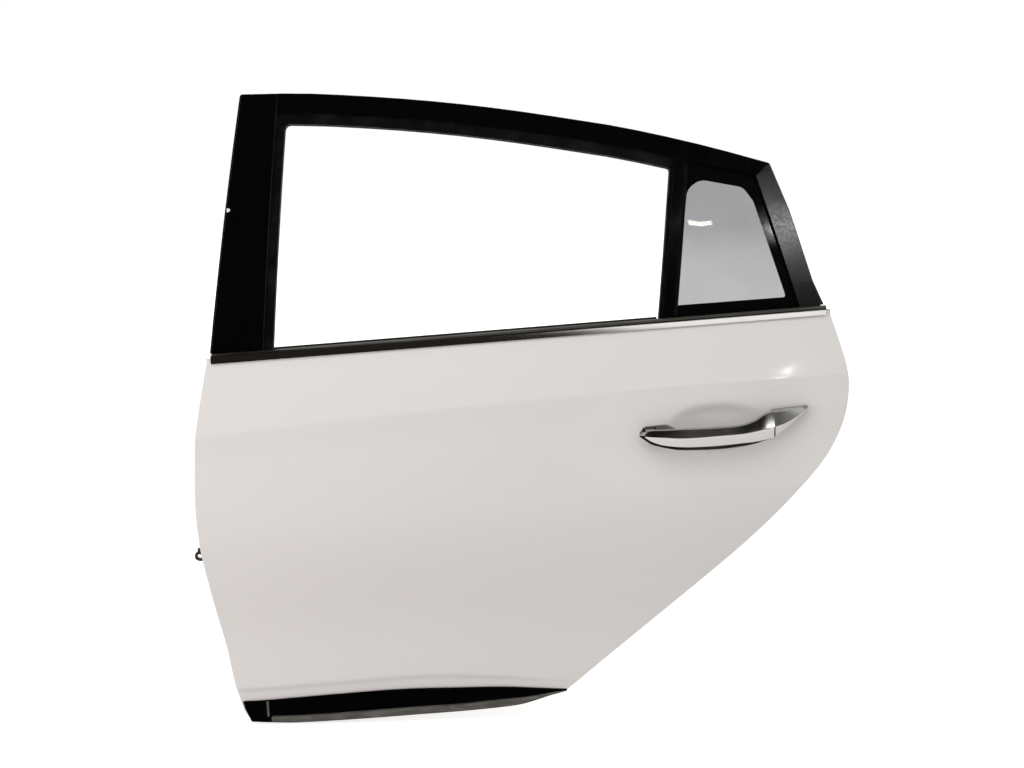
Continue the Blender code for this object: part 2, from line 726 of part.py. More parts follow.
def build_outer_panel():
    bm = bmesh.new()
    columns = [-1.0, *net_columns(), 2.0]
    grid = []
    for level in net_rows():
        places = [net_point(c, level) for c in columns]
        grid.append([bm.verts.new(skin_point(x, z, recess(x, z))) for x, z in places])
    flange = []
    for vert in grid[0]:
        flange.append(bm.verts.new(vert.co + Vector((0.0, SKIN_STANDOFF / 4.0, BELT_FLANGE))))
    for above, below in zip([flange, *grid[:-2]], grid[:-1]):
        strip(bm, above, below)
    strip(bm, grid[-2], grid[-1], crossed=lambda k: k < len(columns) - 2)
    fold, hem = [], []
    pairs = rim_pairs()
    for k, (edge, wall) in enumerate(pairs):
        reach = rim_share(pairs, k, HEM_WIDTH, HEM_MOST)
        fold.append(bm.verts.new(edge + Vector((0.0, HEM_DEPTH, 0.0))))
        hem.append(bm.verts.new(edge.lerp(wall, reach) + Vector((0.0, HEM_DEPTH, 0.0))))
    rim = [row[0] for row in grid] + grid[-1][1:-1] + [row[-1] for row in reversed(grid)]
    strip(bm, rim, fold)
    strip(bm, fold, hem)
    panel = grow_sheet("outer_panel", bm, PAINT, -1.0)
    frame = handle_frame()
    holes = []
    for u, v, radius in ((HANDLE_PIVOT[0], 0.0, LEG_HOLE), (HANDLE_LENGTH - LEG_SIZE[0] / 2.0, 0.0, LEG_HOLE),
                         (CAP_STUD[0], CAP_STUD[1], CAP_STUD[2] * 1.5)):
        hole = cylinder("handle_hole", (u, v, -0.03), (u, v, 0.02), radius)
        hole.data.transform(frame)
        holes.append(hole)
    return combine(panel, holes)


# Inner panel: a pan from the hemmed flange to the inner face

def pan_walls():
    """Shut face points of the rim, each once, from the front belt end to the rear one."""
    walls = []
    for _, wall in rim_pairs():
        if not walls or (wall - walls[-1]).length > 0.00001:
            walls.append(wall)
    return walls


def pan_places(land):
    """Side view places of the shut face points, moved in by a land."""
    walls = pan_walls()
    rows = net_rows()[:-1]
    side = len(rows)
    last = len(walls) - 1
    tip = walls[last + 1 - side].x
    places = []
    for k, wall in enumerate(walls):
        rear = k > last - side
        front = k < side
        x, z = wall.x, wall.z
        if front:
            x += land
        elif rear:
            x -= land * 1.25
        if not (front or rear) or k in (side - 1, last + 1 - side):
            z += land * min(1.0, 0.2 + (tip - wall.x) / 0.15)
        elif k in (0, last):
            z = belt_z(x) - (INNER_BELT_DROP if land else 0.0)
        else:
            z = level_z(rows[min(k, last - k)], x)
        places.append((x, z))
    return places


def panel_openings():
    """Cutters of the inner panel's holes."""
    deep, proud = INNER_FACE_Y - CUT_REACH / 2.0, INNER_FACE_Y + CUT_REACH / 2.0
    x, z, radius = SPEAKER_HOLE
    cuts = [cylinder("speaker_hole", (x, deep, z), (x, proud, z), radius, sides=36)]
    for x0, z0, x1, z1 in (MAIN_ACCESS, REAR_ACCESS):
        corners = [(*corner, ACCESS_CORNER) for corner in rectangle(x0, z0, x1, z1)]
        cuts.append(side_plate("access_hole", corners, deep, proud))
    rear_face = latch_face()
    half = LATCH_SLOT / 2.0
    cuts.append(box("striker_slot", (rear_face - SEAL_LAND * 2.0, CLAW_PIVOT[0] - half, LATCH_HEIGHT - half),
                    (rear_face + CUT_REACH, INNER_FACE_Y - SHEET * 2.0, LATCH_HEIGHT + half)))
    arm_y, arm_z = (size / 2.0 + CHECK_CLEARANCE for size in CHECK_ARM)
    cuts.append(box("check_slot", (-CUT_REACH, CHECK_Y - arm_y, CHECK_HEIGHT - arm_z),
                    (CUT_REACH, CHECK_Y + arm_y, CHECK_HEIGHT + arm_z)))
    cuts += hinge_bolts(-CUT_REACH, CUT_REACH)
    return cuts


def hinge_bolts(start, end):
    """Cutters of the hinge bolts' holes."""
    cuts = []
    for height in (0.0, HINGE_SPACING):
        for side in (-0.5, 0.5):
            y = side * HINGE_BOLT_SPACING
            cuts.append(cylinder("hinge_bolt", (start, y, height), (end, y, height), HINGE_BOLT_RADIUS,
                                 sides=16))
    return cuts


def build_inner_panel():
    bm = bmesh.new()
    pairs = rim_pairs()
    flange_depth = Vector((0.0, 2.0 * SHEET + HEM_CLEARANCE, 0.0))
    tuck = SHEET + 2.0 * HEM_CLEARANCE
    edge_loop = [bm.verts.new(e.lerp(w, rim_share(pairs, k, tuck)) + flange_depth)
                 for k, (e, w) in enumerate(pairs)]
    bend_loop = [bm.verts.new(w + (e - w).normalized() * FLANGE_BEND + flange_depth) for e, w in pairs]
    foot_depth = flange_depth + Vector((0.0, FLANGE_BEND, 0.0))
    foot = [bm.verts.new(wall + foot_depth) for wall in pan_walls()]
    wall_loop, k = [], 0
    for _, wall in pairs:
        if (wall + foot_depth - foot[k].co).length > 0.00001:
            k += 1
        wall_loop.append(foot[k])
    strip(bm, edge_loop, bend_loop)
    strip(bm, bend_loop, wall_loop)
    step_y = INNER_FACE_Y - SHUT_STEP
    loops = [foot]
    for land, y in ((0.0, step_y), (SEAL_LAND, step_y), (SEAL_LAND + WALL_DRAFT, INNER_FACE_Y)):
        loops.append([bm.verts.new((x, y, z)) for x, z in pan_places(land)])
    for first, second in zip(loops, loops[1:]):
        strip(bm, first, second)
    bm.faces.new(loops[-1])
    panel = grow_sheet("inner_panel", bm, PAINT, 1.0)
    return combine(panel, panel_openings())


# Window frame, its trims and glasses, drawn flat and wrapped round the glass

def header_stop(s):
    return round(s / HEADER_STEP) * HEADER_STEP


def header_run(start, end, drop):
    """Points along the header, a drop below its top edge."""
    low, high = sorted((start, end))
    stops = [k * HEADER_STEP for k in range(math.floor(low / HEADER_STEP) + 1, math.ceil(high / HEADER_STEP))]
    stops = [low, *(s for s in stops if low + 0.003 < s < high - 0.003), high]
    return [(s, header_h(s) - drop) for s in (stops if start < end else reversed(stops))]


def front_s(h):
    """Front edge of the frame."""
    (s0, h0), (s1, h1) = FRAME_FRONT, FRAME_TOP[0]
    return lerp(s0, s1, (h - h0) / (h1 - h0))


def quarter_s(h):
    """Rear edge of the quarter opening, carried on below the belt."""
    (s0, h0), (s1, h1) = QUARTER_TOP[-1], QUARTER_REAR
    return lerp(s0, s1, (h - h0) / (h1 - h0))


def channel_base():
    """Outer edge of the run channel: front S, header drop and rear S."""
    depth = CHANNEL_DEPTH + CHANNEL_WALL
    return OPENING_FRONT - depth, HEADER_DEPTH - CHANNEL_WALL / 2.0, OPENING_REAR + depth


def build_window_frame():
    base_front, base_drop, _ = channel_base()
    outer = CHANNEL_LIP + LIP_GAP + SEAT_GAP + FRAME_FLANGE
    inner_s = OPENING_FRONT - FRAME_BACKING
    inner_drop = OPENING_DROP - FRAME_BACKING
    divider = DIVIDER_FACE[1] + RUN_GAP
    belt_front = belt_h(FRAME_FRONT[0]) + POST_CLEARANCE
    sill = belt_h(divider) - QUARTER_SILL
    sill_rear_s = quarter_s(belt_h(QUARTER_REAR[0]) - QUARTER_SILL)
    sill_rear = belt_h(sill_rear_s) - QUARTER_SILL
    rear_foot = FRAME_REAR_FOOT - FOOT_INSET
    sash = POST_EDGE - SASH_WIDTH / 2.0
    corners = [(sash, SASH_FOOT_FRONT), (inner_s, SASH_FOOT_FRONT),
               (inner_s, header_h(inner_s) - inner_drop, OPENING_CORNER)]
    corners += header_run(inner_s + 0.06, divider, inner_drop)
    corners += [(divider, QUARTER_TOP[0][1] + 0.0005), *QUARTER_TOP[:2], (*QUARTER_TOP[2], 0.006)]
    corners.append(QUARTER_REAR)
    corners += [(sill_rear_s, sill_rear), (divider, sill), (divider, sill - SILL_RAIL)]
    corners += [(rear_foot, belt_h(rear_foot) - QUARTER_SILL - SILL_RAIL),
                (rear_foot, belt_h(rear_foot) + POST_CLEARANCE),
                (FRAME_REAR_FOOT + 0.004, belt_h(FRAME_REAR_FOOT) + POST_CLEARANCE)]
    corners += [*reversed(FRAME_REAR), (*FRAME_TOP[-1], 0.006)]
    corners += header_run(header_stop(FRAME_TOP[-1][0] - 0.06), header_stop(FRAME_TOP[0][0] + 0.06), 0.0)
    corners += [(*FRAME_TOP[0], 0.005), (front_s(belt_front), belt_front)]
    corners += [(-POST_INSET, belt_front), (-POST_INSET, POST_FOOT), (sash, POST_FOOT)]
    frame = flat("window_frame", corners, -FRAME_INNER_DEPTH, outer, SATIN_BLACK)

    groove_front = base_front - SEAT_GAP
    groove_drop = base_drop - SEAT_GAP
    groove = [(groove_front, SASH_FOOT_FRONT - 0.01), (groove_front, header_h(groove_front) - groove_drop)]
    groove += header_run(groove_front + 0.06, divider + RUN_GAP, groove_drop)
    groove += [(divider + RUN_GAP, SASH_FOOT_FRONT - 0.01)]
    back = -GLASS_THICKNESS - LIP_GAP - CHANNEL_BACK - SEAT_GAP
    cuts = [flat("run_groove", groove, back, outer - FRAME_FLANGE)]
    face = [(POST_EDGE, SASH_FOOT_FRONT - 0.01), (POST_EDGE, header_h(POST_EDGE) - HEADER_DEPTH)]
    face += header_run(POST_EDGE + 0.06, divider + RUN_GAP * 0.8, HEADER_DEPTH)
    face += [(divider + RUN_GAP * 0.8, SASH_FOOT_FRONT - 0.01)]
    cuts.append(flat("face_relief", face, outer - FRAME_FLANGE - SEAT_GAP, outer + 0.005))
    cuts.append(flat("quarter_groove", quarter_outline(QUARTER_SEAL_WIDTH + SEAT_GAP, divider - 0.001),
                     -GLASS_THICKNESS - QUARTER_LIP - SEAT_GAP, outer - FRAME_FLANGE))
    slim = [(sash - 0.01, SASH_FOOT_FRONT - 0.01), (inner_s + 0.01, SASH_FOOT_FRONT - 0.01),
            (inner_s + 0.01, POST_FOOT + 0.001), (sash - 0.01, POST_FOOT + 0.001)]
    foot_s = rear_foot - POST_INSET * 2.0
    foot = [(foot_s, belt_h(foot_s) - 0.1), (FRAME_REAR_FOOT + 0.02, belt_h(foot_s) - 0.1),
            (FRAME_REAR_FOOT + 0.02, belt_h(FRAME_REAR_FOOT + 0.02) + 0.008),
            (foot_s, belt_h(foot_s) + 0.008)]
    cuts.append(flat("foot_relief", foot, -FRAME_INNER_DEPTH - 0.005, -FOOT_DEPTH))
    cuts.append(flat("sash_relief", slim, -FRAME_INNER_DEPTH - 0.005, back - SASH_WALL))
    combine(frame, cuts)
    return wrap(frame)


def quarter_outline(grow, front):
    """Quarter opening grown outwards, down to just above its sill."""
    top = [(s, h + grow * 0.8) for s, h in QUARTER_TOP[:2]]
    corner = (QUARTER_TOP[2][0] + grow, QUARTER_TOP[2][1] + grow * 0.4)
    low_s = quarter_s(belt_h(QUARTER_REAR[0]) - QUARTER_SILL) + grow
    foot = SEAT_GAP - grow * 0.6
    return [(front, belt_h(front) - QUARTER_SILL + foot),
            (low_s, belt_h(low_s - grow) - QUARTER_SILL + foot),
            (QUARTER_REAR[0] + grow, QUARTER_REAR[1]), (*corner, 0.008), (top[1][0], top[1][1]),
            (front, top[0][1])]


def build_divider():
    outer = CHANNEL_LIP + LIP_GAP + SEAT_GAP
    back = -GLASS_THICKNESS - LIP_GAP - CHANNEL_BACK - SEAT_GAP
    web = channel_base()[2] + SEAT_GAP
    face, rear = DIVIDER_FACE
    lip = face + RUN_GAP
    top = OPENING_DROP - FRAME_BACKING + SEAT_GAP * 2.0

    def post(name, front, foot, head, low, high, inset):
        """Upright of the bar; each is inset by its own amount, so that no faces coincide."""
        back_s = rear - inset * SEAT_GAP
        corners = [(front, foot + inset * SEAT_GAP), (back_s, foot + inset * SEAT_GAP)]
        corners += [(s, header_h(s) - head - inset * SEAT_GAP) for s in (back_s, front)]
        return flat(name, corners, low, high)

    bar = post("division_bar", lip, SASH_FOOT_REAR, top, -FRAME_INNER_DEPTH + 0.002, back, 0.0)
    bar.data.materials.append(GLOSS_BLACK)
    others = [post("divider_web", web, SASH_FOOT_REAR, top, back - 0.002, outer + 0.001, 0.5),
              post("divider_keeper", face, SASH_FOOT_REAR, top, outer, outer + FRAME_FLANGE, 1.0),
              post("divider_face", face, belt_h(face) + POST_CLEARANCE, HEADER_DEPTH + SEAT_GAP,
                   outer + 0.0002, outer + SEAT_GAP + FRAME_FLANGE + TRIM_THICKNESS, 1.5)]
    combine(bar, others, "UNION")
    return wrap(bar)


def build_run_channel():
    front, drop, rear = channel_base()
    back = -GLASS_THICKNESS - LIP_GAP - CHANNEL_BACK
    foot_front, foot_rear = SASH_FOOT_FRONT + 0.002, SASH_FOOT_REAR + 0.002
    corners = [(front, foot_front), (OPENING_FRONT, foot_front),
               (OPENING_FRONT, header_h(OPENING_FRONT) - OPENING_DROP, OPENING_CORNER)]
    corners += header_run(OPENING_FRONT + 0.06, OPENING_REAR - 0.06, OPENING_DROP)
    corners += [(OPENING_REAR, header_h(OPENING_REAR) - OPENING_DROP, OPENING_CORNER * 0.6),
                (OPENING_REAR, foot_rear), (rear, foot_rear), (rear, header_h(rear) - drop, 0.003)]
    corners += header_run(rear - 0.06, front + 0.06, drop)
    corners += [(front, header_h(front) - drop, 0.003)]
    channel = flat("glass_run_channel", corners, back, LIP_GAP + CHANNEL_LIP, RUBBER)
    slot_front, slot_rear = front + CHANNEL_WALL, rear - CHANNEL_WALL
    slot = [(slot_front, SASH_FOOT_FRONT - 0.01), (slot_rear, SASH_FOOT_FRONT - 0.01),
            (slot_rear, header_h(slot_rear) - drop - CHANNEL_WALL)]
    slot += header_run(slot_rear - 0.06, slot_front + 0.06, drop + CHANNEL_WALL)
    slot += [(slot_front, header_h(slot_front) - drop - CHANNEL_WALL)]
    combine(channel, [flat("glass_slot", slot, -GLASS_THICKNESS - LIP_GAP, LIP_GAP)])
    return wrap(channel)


def build_frame_trims():
    low = CHANNEL_LIP + LIP_GAP + 2.0 * SEAT_GAP + FRAME_FLANGE
    high = low + TRIM_THICKNESS
    inset = TRIM_INSET
    foot = belt_h(0.0) + TRIM_FOOT
    seam = POST_EDGE - SEAT_GAP
    post = [(front_s(foot) + inset, foot), (seam, belt_h(seam) + TRIM_FOOT), (seam, header_h(seam) - 0.001)]
    post += [(FRAME_TOP[0][0] + inset, FRAME_TOP[0][1] - 0.001, 0.004)]
    wrap(flat("b_pillar_applique", post, low, high, GLOSS_BLACK))

    joint_low = (QUARTER_TOP[2][0], QUARTER_TOP[2][1] + 0.001)
    joint_high = (FRAME_TOP[-1][0] - inset * 0.5, FRAME_TOP[-1][1] - 0.001)
    header = [(POST_EDGE, header_h(POST_EDGE) - HEADER_DEPTH)]
    header += header_run(POST_EDGE + 0.06, DIVIDER_FACE[1], HEADER_DEPTH)
    header += QUARTER_TOP[:2]
    header += [(s - 0.0005, h) for s, h in (joint_low, joint_high)]
    header += header_run(header_stop(joint_high[0] - 0.06), POST_EDGE, 0.001)
    wrap(flat("header_moulding", header, low, high, GLOSS_BLACK))

    foot_s = FRAME_REAR_FOOT
    rear = [(quarter_s(belt_h(QUARTER_REAR[0]) + TRIM_FOOT), belt_h(QUARTER_REAR[0]) + TRIM_FOOT)]
    rear += [(foot_s - inset * 0.5, belt_h(foot_s) + TRIM_FOOT), (foot_s - inset * 0.7, REAR_KNEE)]
    rear += [(s - inset * 0.5, h) for s, h in reversed(FRAME_REAR)]
    rear += [(joint_high[0], joint_high[1] - 0.0005), joint_low, QUARTER_REAR]
    wrap(flat("c_pillar_applique", rear, low, high, GLOSS_BLACK))


def build_quarter_window():
    front = DIVIDER_FACE[1] + SEAT_GAP
    lip = QUARTER_LIP
    edge = QUARTER_SEAL_WIDTH - 0.003
    seal = flat("quarter_glass_seal", quarter_outline(QUARTER_SEAL_WIDTH, front), -GLASS_THICKNESS - lip, lip,
                RUBBER)
    groove = flat("seal_groove", quarter_outline(edge, front + 0.003), -GLASS_THICKNESS - SEAT_GAP, SEAT_GAP)
    sight = flat("seal_sight", quarter_outline(0.0005, front + 0.0055), -0.02, 0.02)
    combine(seal, [groove, sight])
    wrap(seal)
    wrap(flat("quarter_glass", quarter_outline(edge - SEAT_GAP, front + 0.003 + SEAT_GAP),
              -GLASS_THICKNESS, 0.0, PRIVACY_GLASS))


def glass_travel():
    return GLASS_RADIUS * LIFT_ANGLE


def build_drop_glass():
    """Drop glass, drawn at rest with its top edge just under the belt."""
    front = OPENING_FRONT - GLASS_INSERTION
    rear = OPENING_REAR + GLASS_INSERTION
    drop = OPENING_DROP - GLASS_INSERTION + glass_travel()
    foot = GLASS_FOOT + glass_travel()
    corners = [(front, belt_h(front) - foot, 0.010), (rear, belt_h(rear) - foot, 0.010),
               (rear, header_h(rear) - drop, 0.006)]
    corners += header_run(rear - 0.06, front + 0.06, drop)
    corners += [(front, header_h(front) - drop, 0.008)]
    glass = flat("drop_glass", corners, -GLASS_THICKNESS, 0.0, CLEAR_GLASS)
    wrap(glass)
    carry = belt_h(RAIL_PLACE) - foot
    clamp = GLASS_THICKNESS + CLAMP_WALL
    half = CLAMP_WIDTH / 2.0
    block = [(RAIL_PLACE - half, carry - 0.022, 0.006), (RAIL_PLACE + half, carry - 0.022, 0.006),
             (RAIL_PLACE + half, carry + 0.016, 0.006), (RAIL_PLACE - half, carry + 0.016, 0.006)]
    carrier = flat("glass_carrier", block, -clamp, CLAMP_WALL, PLASTIC)
    ends = (RAIL_PLACE - half - 0.01, RAIL_PLACE + half + 0.01)
    pocket = [(ends[0], belt_h(ends[0]) - foot - SEAT_GAP), (ends[1], belt_h(ends[1]) - foot - SEAT_GAP),
              (ends[1], carry + 0.03), (ends[0], carry + 0.03)]
    shoe_half = RAIL_WIDTH / 2.0 + 0.006
    shoe = [(RAIL_PLACE - shoe_half, carry - 0.022), (RAIL_PLACE + shoe_half, carry - 0.022),
            (RAIL_PLACE + shoe_half, carry + 0.012), (RAIL_PLACE - shoe_half, carry + 0.012)]
    track_half = RAIL_WIDTH / 2.0 + SEAT_GAP
    track = [(RAIL_PLACE - track_half, carry - 0.03), (RAIL_PLACE + track_half, carry - 0.03),
             (RAIL_PLACE + track_half, carry + 0.03), (RAIL_PLACE - track_half, carry + 0.03)]
    rail_face = -RAIL_STANDOFF + SEAT_GAP
    combine(carrier, [flat("carrier_shoe", shoe, -RAIL_STANDOFF - 0.006, -clamp + 0.001)], "UNION")
    combine(carrier, [flat("glass_pocket", pocket, -GLASS_THICKNESS - SEAT_GAP, SEAT_GAP),
                      flat("rail_track", track, -RAIL_STANDOFF - 0.010, rail_face)])
    wrap(carrier)
    up = GLASS_AXIS_HEIGHT
    for item in (glass, carrier):
        set_origin(item, (up * math.sin(GLASS_LEAN), GLASS_AXIS_Y, up * math.cos(GLASS_LEAN)))


def build_regulator():
    """Rail bent to the glass, with a foot at each end, and the lift motor."""
    half = RAIL_WIDTH / 2.0
    low, high = -RAIL_STANDOFF - RAIL_SECTION, -RAIL_STANDOFF
    section = rectangle(RAIL_PLACE - half, RAIL_FOOT, RAIL_PLACE + half, RAIL_HEAD)
    rail = flat("regulator_rail", section, low, high, ZINC)
    inside = half - RAIL_WALL
    hollow = rectangle(RAIL_PLACE - inside, RAIL_FOOT - 0.01, RAIL_PLACE + inside, RAIL_HEAD + 0.01)
    trough = flat("rail_trough", hollow, low - 0.01, high - RAIL_WALL)
    combine(rail, [trough])
    wrap(rail)
    feet = []
    for h in (RAIL_FOOT + 0.015, RAIL_HEAD - 0.015):
        start = on_glass(RAIL_PLACE, h, high - RAIL_WALL / 3.0)
        bend = RAIL_FOOT_HALF * abs(h - GLASS_AXIS_HEIGHT) / GLASS_RADIUS
        feet.append(box("rail_foot", (start.x - half * 0.7, start.y + bend, start.z - RAIL_FOOT_HALF),
                        (start.x + half * 0.7, INNER_FACE_Y - SHEET - SEAT_GAP, start.z + RAIL_FOOT_HALF)))
    combine(rail, feet, "UNION")

    motor = on_glass(RAIL_PLACE, MOTOR_HEIGHT, low)
    centre = Vector((motor.x + MOTOR_SHIFT, INNER_FACE_Y - SHEET - SEAT_GAP, motor.z))
    inward = Vector((0.0, -MOTOR_DEPTH, 0.0))
    drum = cylinder("regulator_motor", centre + inward, centre, DRUM_RADIUS, PLASTIC, sides=28)
    can_start = centre + inward * 0.55 + Vector((0.0, 0.0, DRUM_RADIUS * 0.4))
    can_end = can_start + Vector((MOTOR_LENGTH, 0.0, 0.0))
    can = cylinder("motor_can", can_start, can_end, MOTOR_RADIUS)
    hub = cylinder("drum_hub", centre + inward * 1.2, centre + inward * 0.5, DRUM_RADIUS * 0.6, sides=24)
    combine(drum, [can, hub], "UNION")


# Belt line: moulding, seals and reinforcements, swept along the belt

def belt_sweep(name, start, end, profile, look, steps=12):
    """Solid swept along the belt; profile points are (inboard, up) from the skin's edge."""
    sections = []
    for k in range(steps + 1):
        x = lerp(start, end, k / steps)
        y, z = glass_y(x, belt_z(x), SKIN_STANDOFF), belt_z(x)
        sections.append([(x, y + a, z + b) for a, b in profile])
    return loft(name, sections, look)


def build_belt():
    start, end = MOULDING_SPAN
    wall = MOULDING_WALL
    top = MOULDING_FACE
    proud = -MOULDING_PROUD
    flange = SKIN_STANDOFF / 4.0
    inner = flange + SHEET + SEAT_GAP * 1.5
    profile = [(proud, SEAT_GAP * 2.0), (proud - 0.0004, top * 0.5), (proud + 0.0006, top - 0.0010),
               (proud + 0.0020, top), (inner + wall, top), (inner + wall, 0.0005), (inner, 0.0005),
               (inner, top - wall), (proud + wall, top - wall), (proud + wall, SEAT_GAP * 2.0)]
    belt_sweep("belt_moulding", start, end, profile, CHROME, 16)

    gap = SKIN_STANDOFF - RUN_GAP
    back = inner + wall + SEAT_GAP
    lip = top + BELT_LIP_HEIGHT
    open_front = on_glass(OPENING_FRONT + 0.0030, belt_h(OPENING_FRONT), 0.0).x
    open_rear = on_glass(OPENING_REAR - 0.0030, belt_h(OPENING_REAR), 0.0).x
    seal = [(back, 0.002), (back, top - 0.0015), (back + 0.001, top + 0.0005), (gap - 0.0015, lip),
            (gap, lip + 0.0012), (gap + 0.0003, lip - 0.001), (gap - 0.002, lip - 0.0035),
            (back + 0.0025, top - 0.003), (back + 0.0025, 0.002)]
    belt_sweep("outer_belt_seal", open_front, open_rear, seal, RUBBER)

    low = CHANNEL_LIP + LIP_GAP + 3.0 * SEAT_GAP + FRAME_FLANGE
    high = low + RAIL_SHEET
    deep = -OUTER_RAIL_DEPTH
    rail = [(low, 0.0), (high, 0.0), (high, deep + RAIL_SHEET), (high + 0.010, deep + RAIL_SHEET - 0.004),
            (high + 0.010, deep - 0.004), (low, deep)]
    rear_end = rear_wall_x(belt_z(LATCH_FACE_X)) - SHEET - SEAT_GAP
    sections = []
    for k in range(17):
        x = lerp(SHEET + SEAT_GAP, rear_end, k / 16.0)
        sections.append([(x, glass_y(x, belt_z(x) + up, d), belt_z(x) + up) for d, up in rail])
    loft("outer_belt_reinforcement", sections, ZINC)

    inside = []
    for k in range(13):
        x = lerp(open_front, open_rear, k / 12.0)
        glass = glass_y(x, belt_z(x)) + GLASS_THICKNESS
        top_z = belt_z(x) - INNER_BELT_DROP
        face = INNER_FACE_Y - SHEET - SEAT_GAP
        near = glass + INNER_RAIL_GAP
        deep_z = top_z - INNER_RAIL_DEPTH
        thick = RAIL_SHEET
        inside.append([(x, face, top_z), (x, near, top_z), (x, near, deep_z), (x, face, deep_z - 0.004),
                       (x, face, deep_z - 0.004 + thick), (x, near + thick, deep_z + thick),
                       (x, near + thick, top_z - thick), (x, face, top_z - thick)])
    loft("inner_belt_reinforcement", inside, ZINC)

    sections = []
    for k in range(13):
        x = lerp(open_front + 0.001, open_rear - 0.001, k / 12.0)
        glass = glass_y(x, belt_z(x)) + GLASS_THICKNESS
        z = belt_z(x) - INNER_BELT_DROP + SEAT_GAP
        near = glass + INNER_RAIL_GAP
        sections.append([(x, glass + RUN_GAP, z + 0.004), (x, glass + RUN_GAP, z - 0.006),
                         (x, glass + RUN_GAP + 0.002, z - 0.006), (x, near - SEAT_GAP, z - 0.001),
                         (x, near - SEAT_GAP, z), (x, near + 0.012, z), (x, near + 0.012, z + 0.0025),
                         (x, near - 0.001, z + 0.0045), (x, glass + RUN_GAP + 0.002, z + 0.006)])
    loft("inner_belt_seal", sections, RUBBER)


# Sill garnish along the skin's foot

def build_garnish():
    sections = []
    first, last = GARNISH_SHAPE[0][0], GARNISH_SHAPE[-1][0]
    stops = sorted({row[0] for row in GARNISH_SHAPE} | {lerp(first, last, k / 12.0) for k in range(13)})
    for x in stops:
        scoop, lip, proud = table(GARNISH_SHAPE, x)
        bottom = spline(BOTTOM_EDGE, max(x, 0.03)) - 2.0 * SEAT_GAP
        top_z = spline(GARNISH_TOP, x)
        lip_z = lerp(bottom, top_z, lip)
        skew = GARNISH_SKEW * max(0.0, 1.0 - (x - first) / 0.034)
        height = top_z - bottom

        def place(out, z):
            at = x + skew * (top_z - z)
            return (at, skin_y(at, max(z, bottom + 0.001)) - SEAT_GAP - out, z)

        rim = min(0.0035, height * 0.12)
        sections.append([place(0.0, top_z - rim * 0.4), place(proud * 0.6, top_z), place(proud, top_z - rim),
                         place(proud * scoop, lerp(lip_z, top_z, 0.45)),
                         place(proud * scoop * 0.9 + 0.001, lip_z),
                         place(GARNISH_LIP * proud / 0.005, lip_z - rim * 0.6),
                         place(GARNISH_LIP * proud / 0.005, bottom + rim * 0.6),
                         place(proud * 0.8, bottom), place(0.0, bottom)])
    return loft("sill_garnish", sections, PLASTIC, smooth_angle=25.0)


# Outside handle

def handle_frame():
    """Frame of the handle: U rearwards along it, V up and N out of the skin."""
    start = skin_point(*HANDLE_START)
    end = skin_point(HANDLE_START[0] + HANDLE_LENGTH, HANDLE_START[1] + HANDLE_RISE * HANDLE_LENGTH)
    along = (end - start).normalized()
    out = Vector((0.0, -1.0, 0.0))
    out = (out - along * out.dot(along)).normalized()
    turn = Matrix((along, out.cross(along), out)).transposed().to_4x4()
    return Matrix.Translation(start) @ turn


def skin_n(u, v):
    """Height of the skin, with its recess, over the handle's plane."""
    frame = handle_frame()
    n = 0.0
    for _ in range(6):
        place = frame @ Vector((u, v, n))
        n += place.y - skin_y(place.x, place.z) - recess(place.x, place.z)
    return n


def handle_ring(section, backs):
    """Ring of a grip or cap section; backs are the N of its back, low and high."""
    u, low, face_top, back_top, outer = section
    back = (backs[0] + backs[1]) / 2.0
    return [(u, low + 0.002, backs[0]), (u, low, backs[0] + 0.002), (u, low, outer - 0.003),
            (u, low + 0.003, outer - 0.0004), (u, lerp(low, face_top, 0.5), outer), (u, face_top, outer),
            (u, back_top, lerp(outer, back, 0.55)), (u, back_top, backs[1] + 0.002),
            (u, back_top - 0.001, backs[1])]


def insert_solid(name, look, grow, deep, proud):
    """Slice of the grip's face that the insert fills, grown by a gap."""
    sections = []
    last = len(INSERT_SECTIONS) - 1
    for k, (share, low, high) in enumerate(INSERT_SECTIONS):
        at = share * HANDLE_LENGTH + grow * ((k == last) - (k == 0))
        outer = table(GRIP_SECTIONS, share)[3]
        face = (outer - deep, outer + proud)
        sections.append([(at, low - grow, face[0]), (at, high + grow, face[0]), (at, high + grow, face[1]),
                         (at, low - grow, face[1])])
    return loft(name, sections, look)


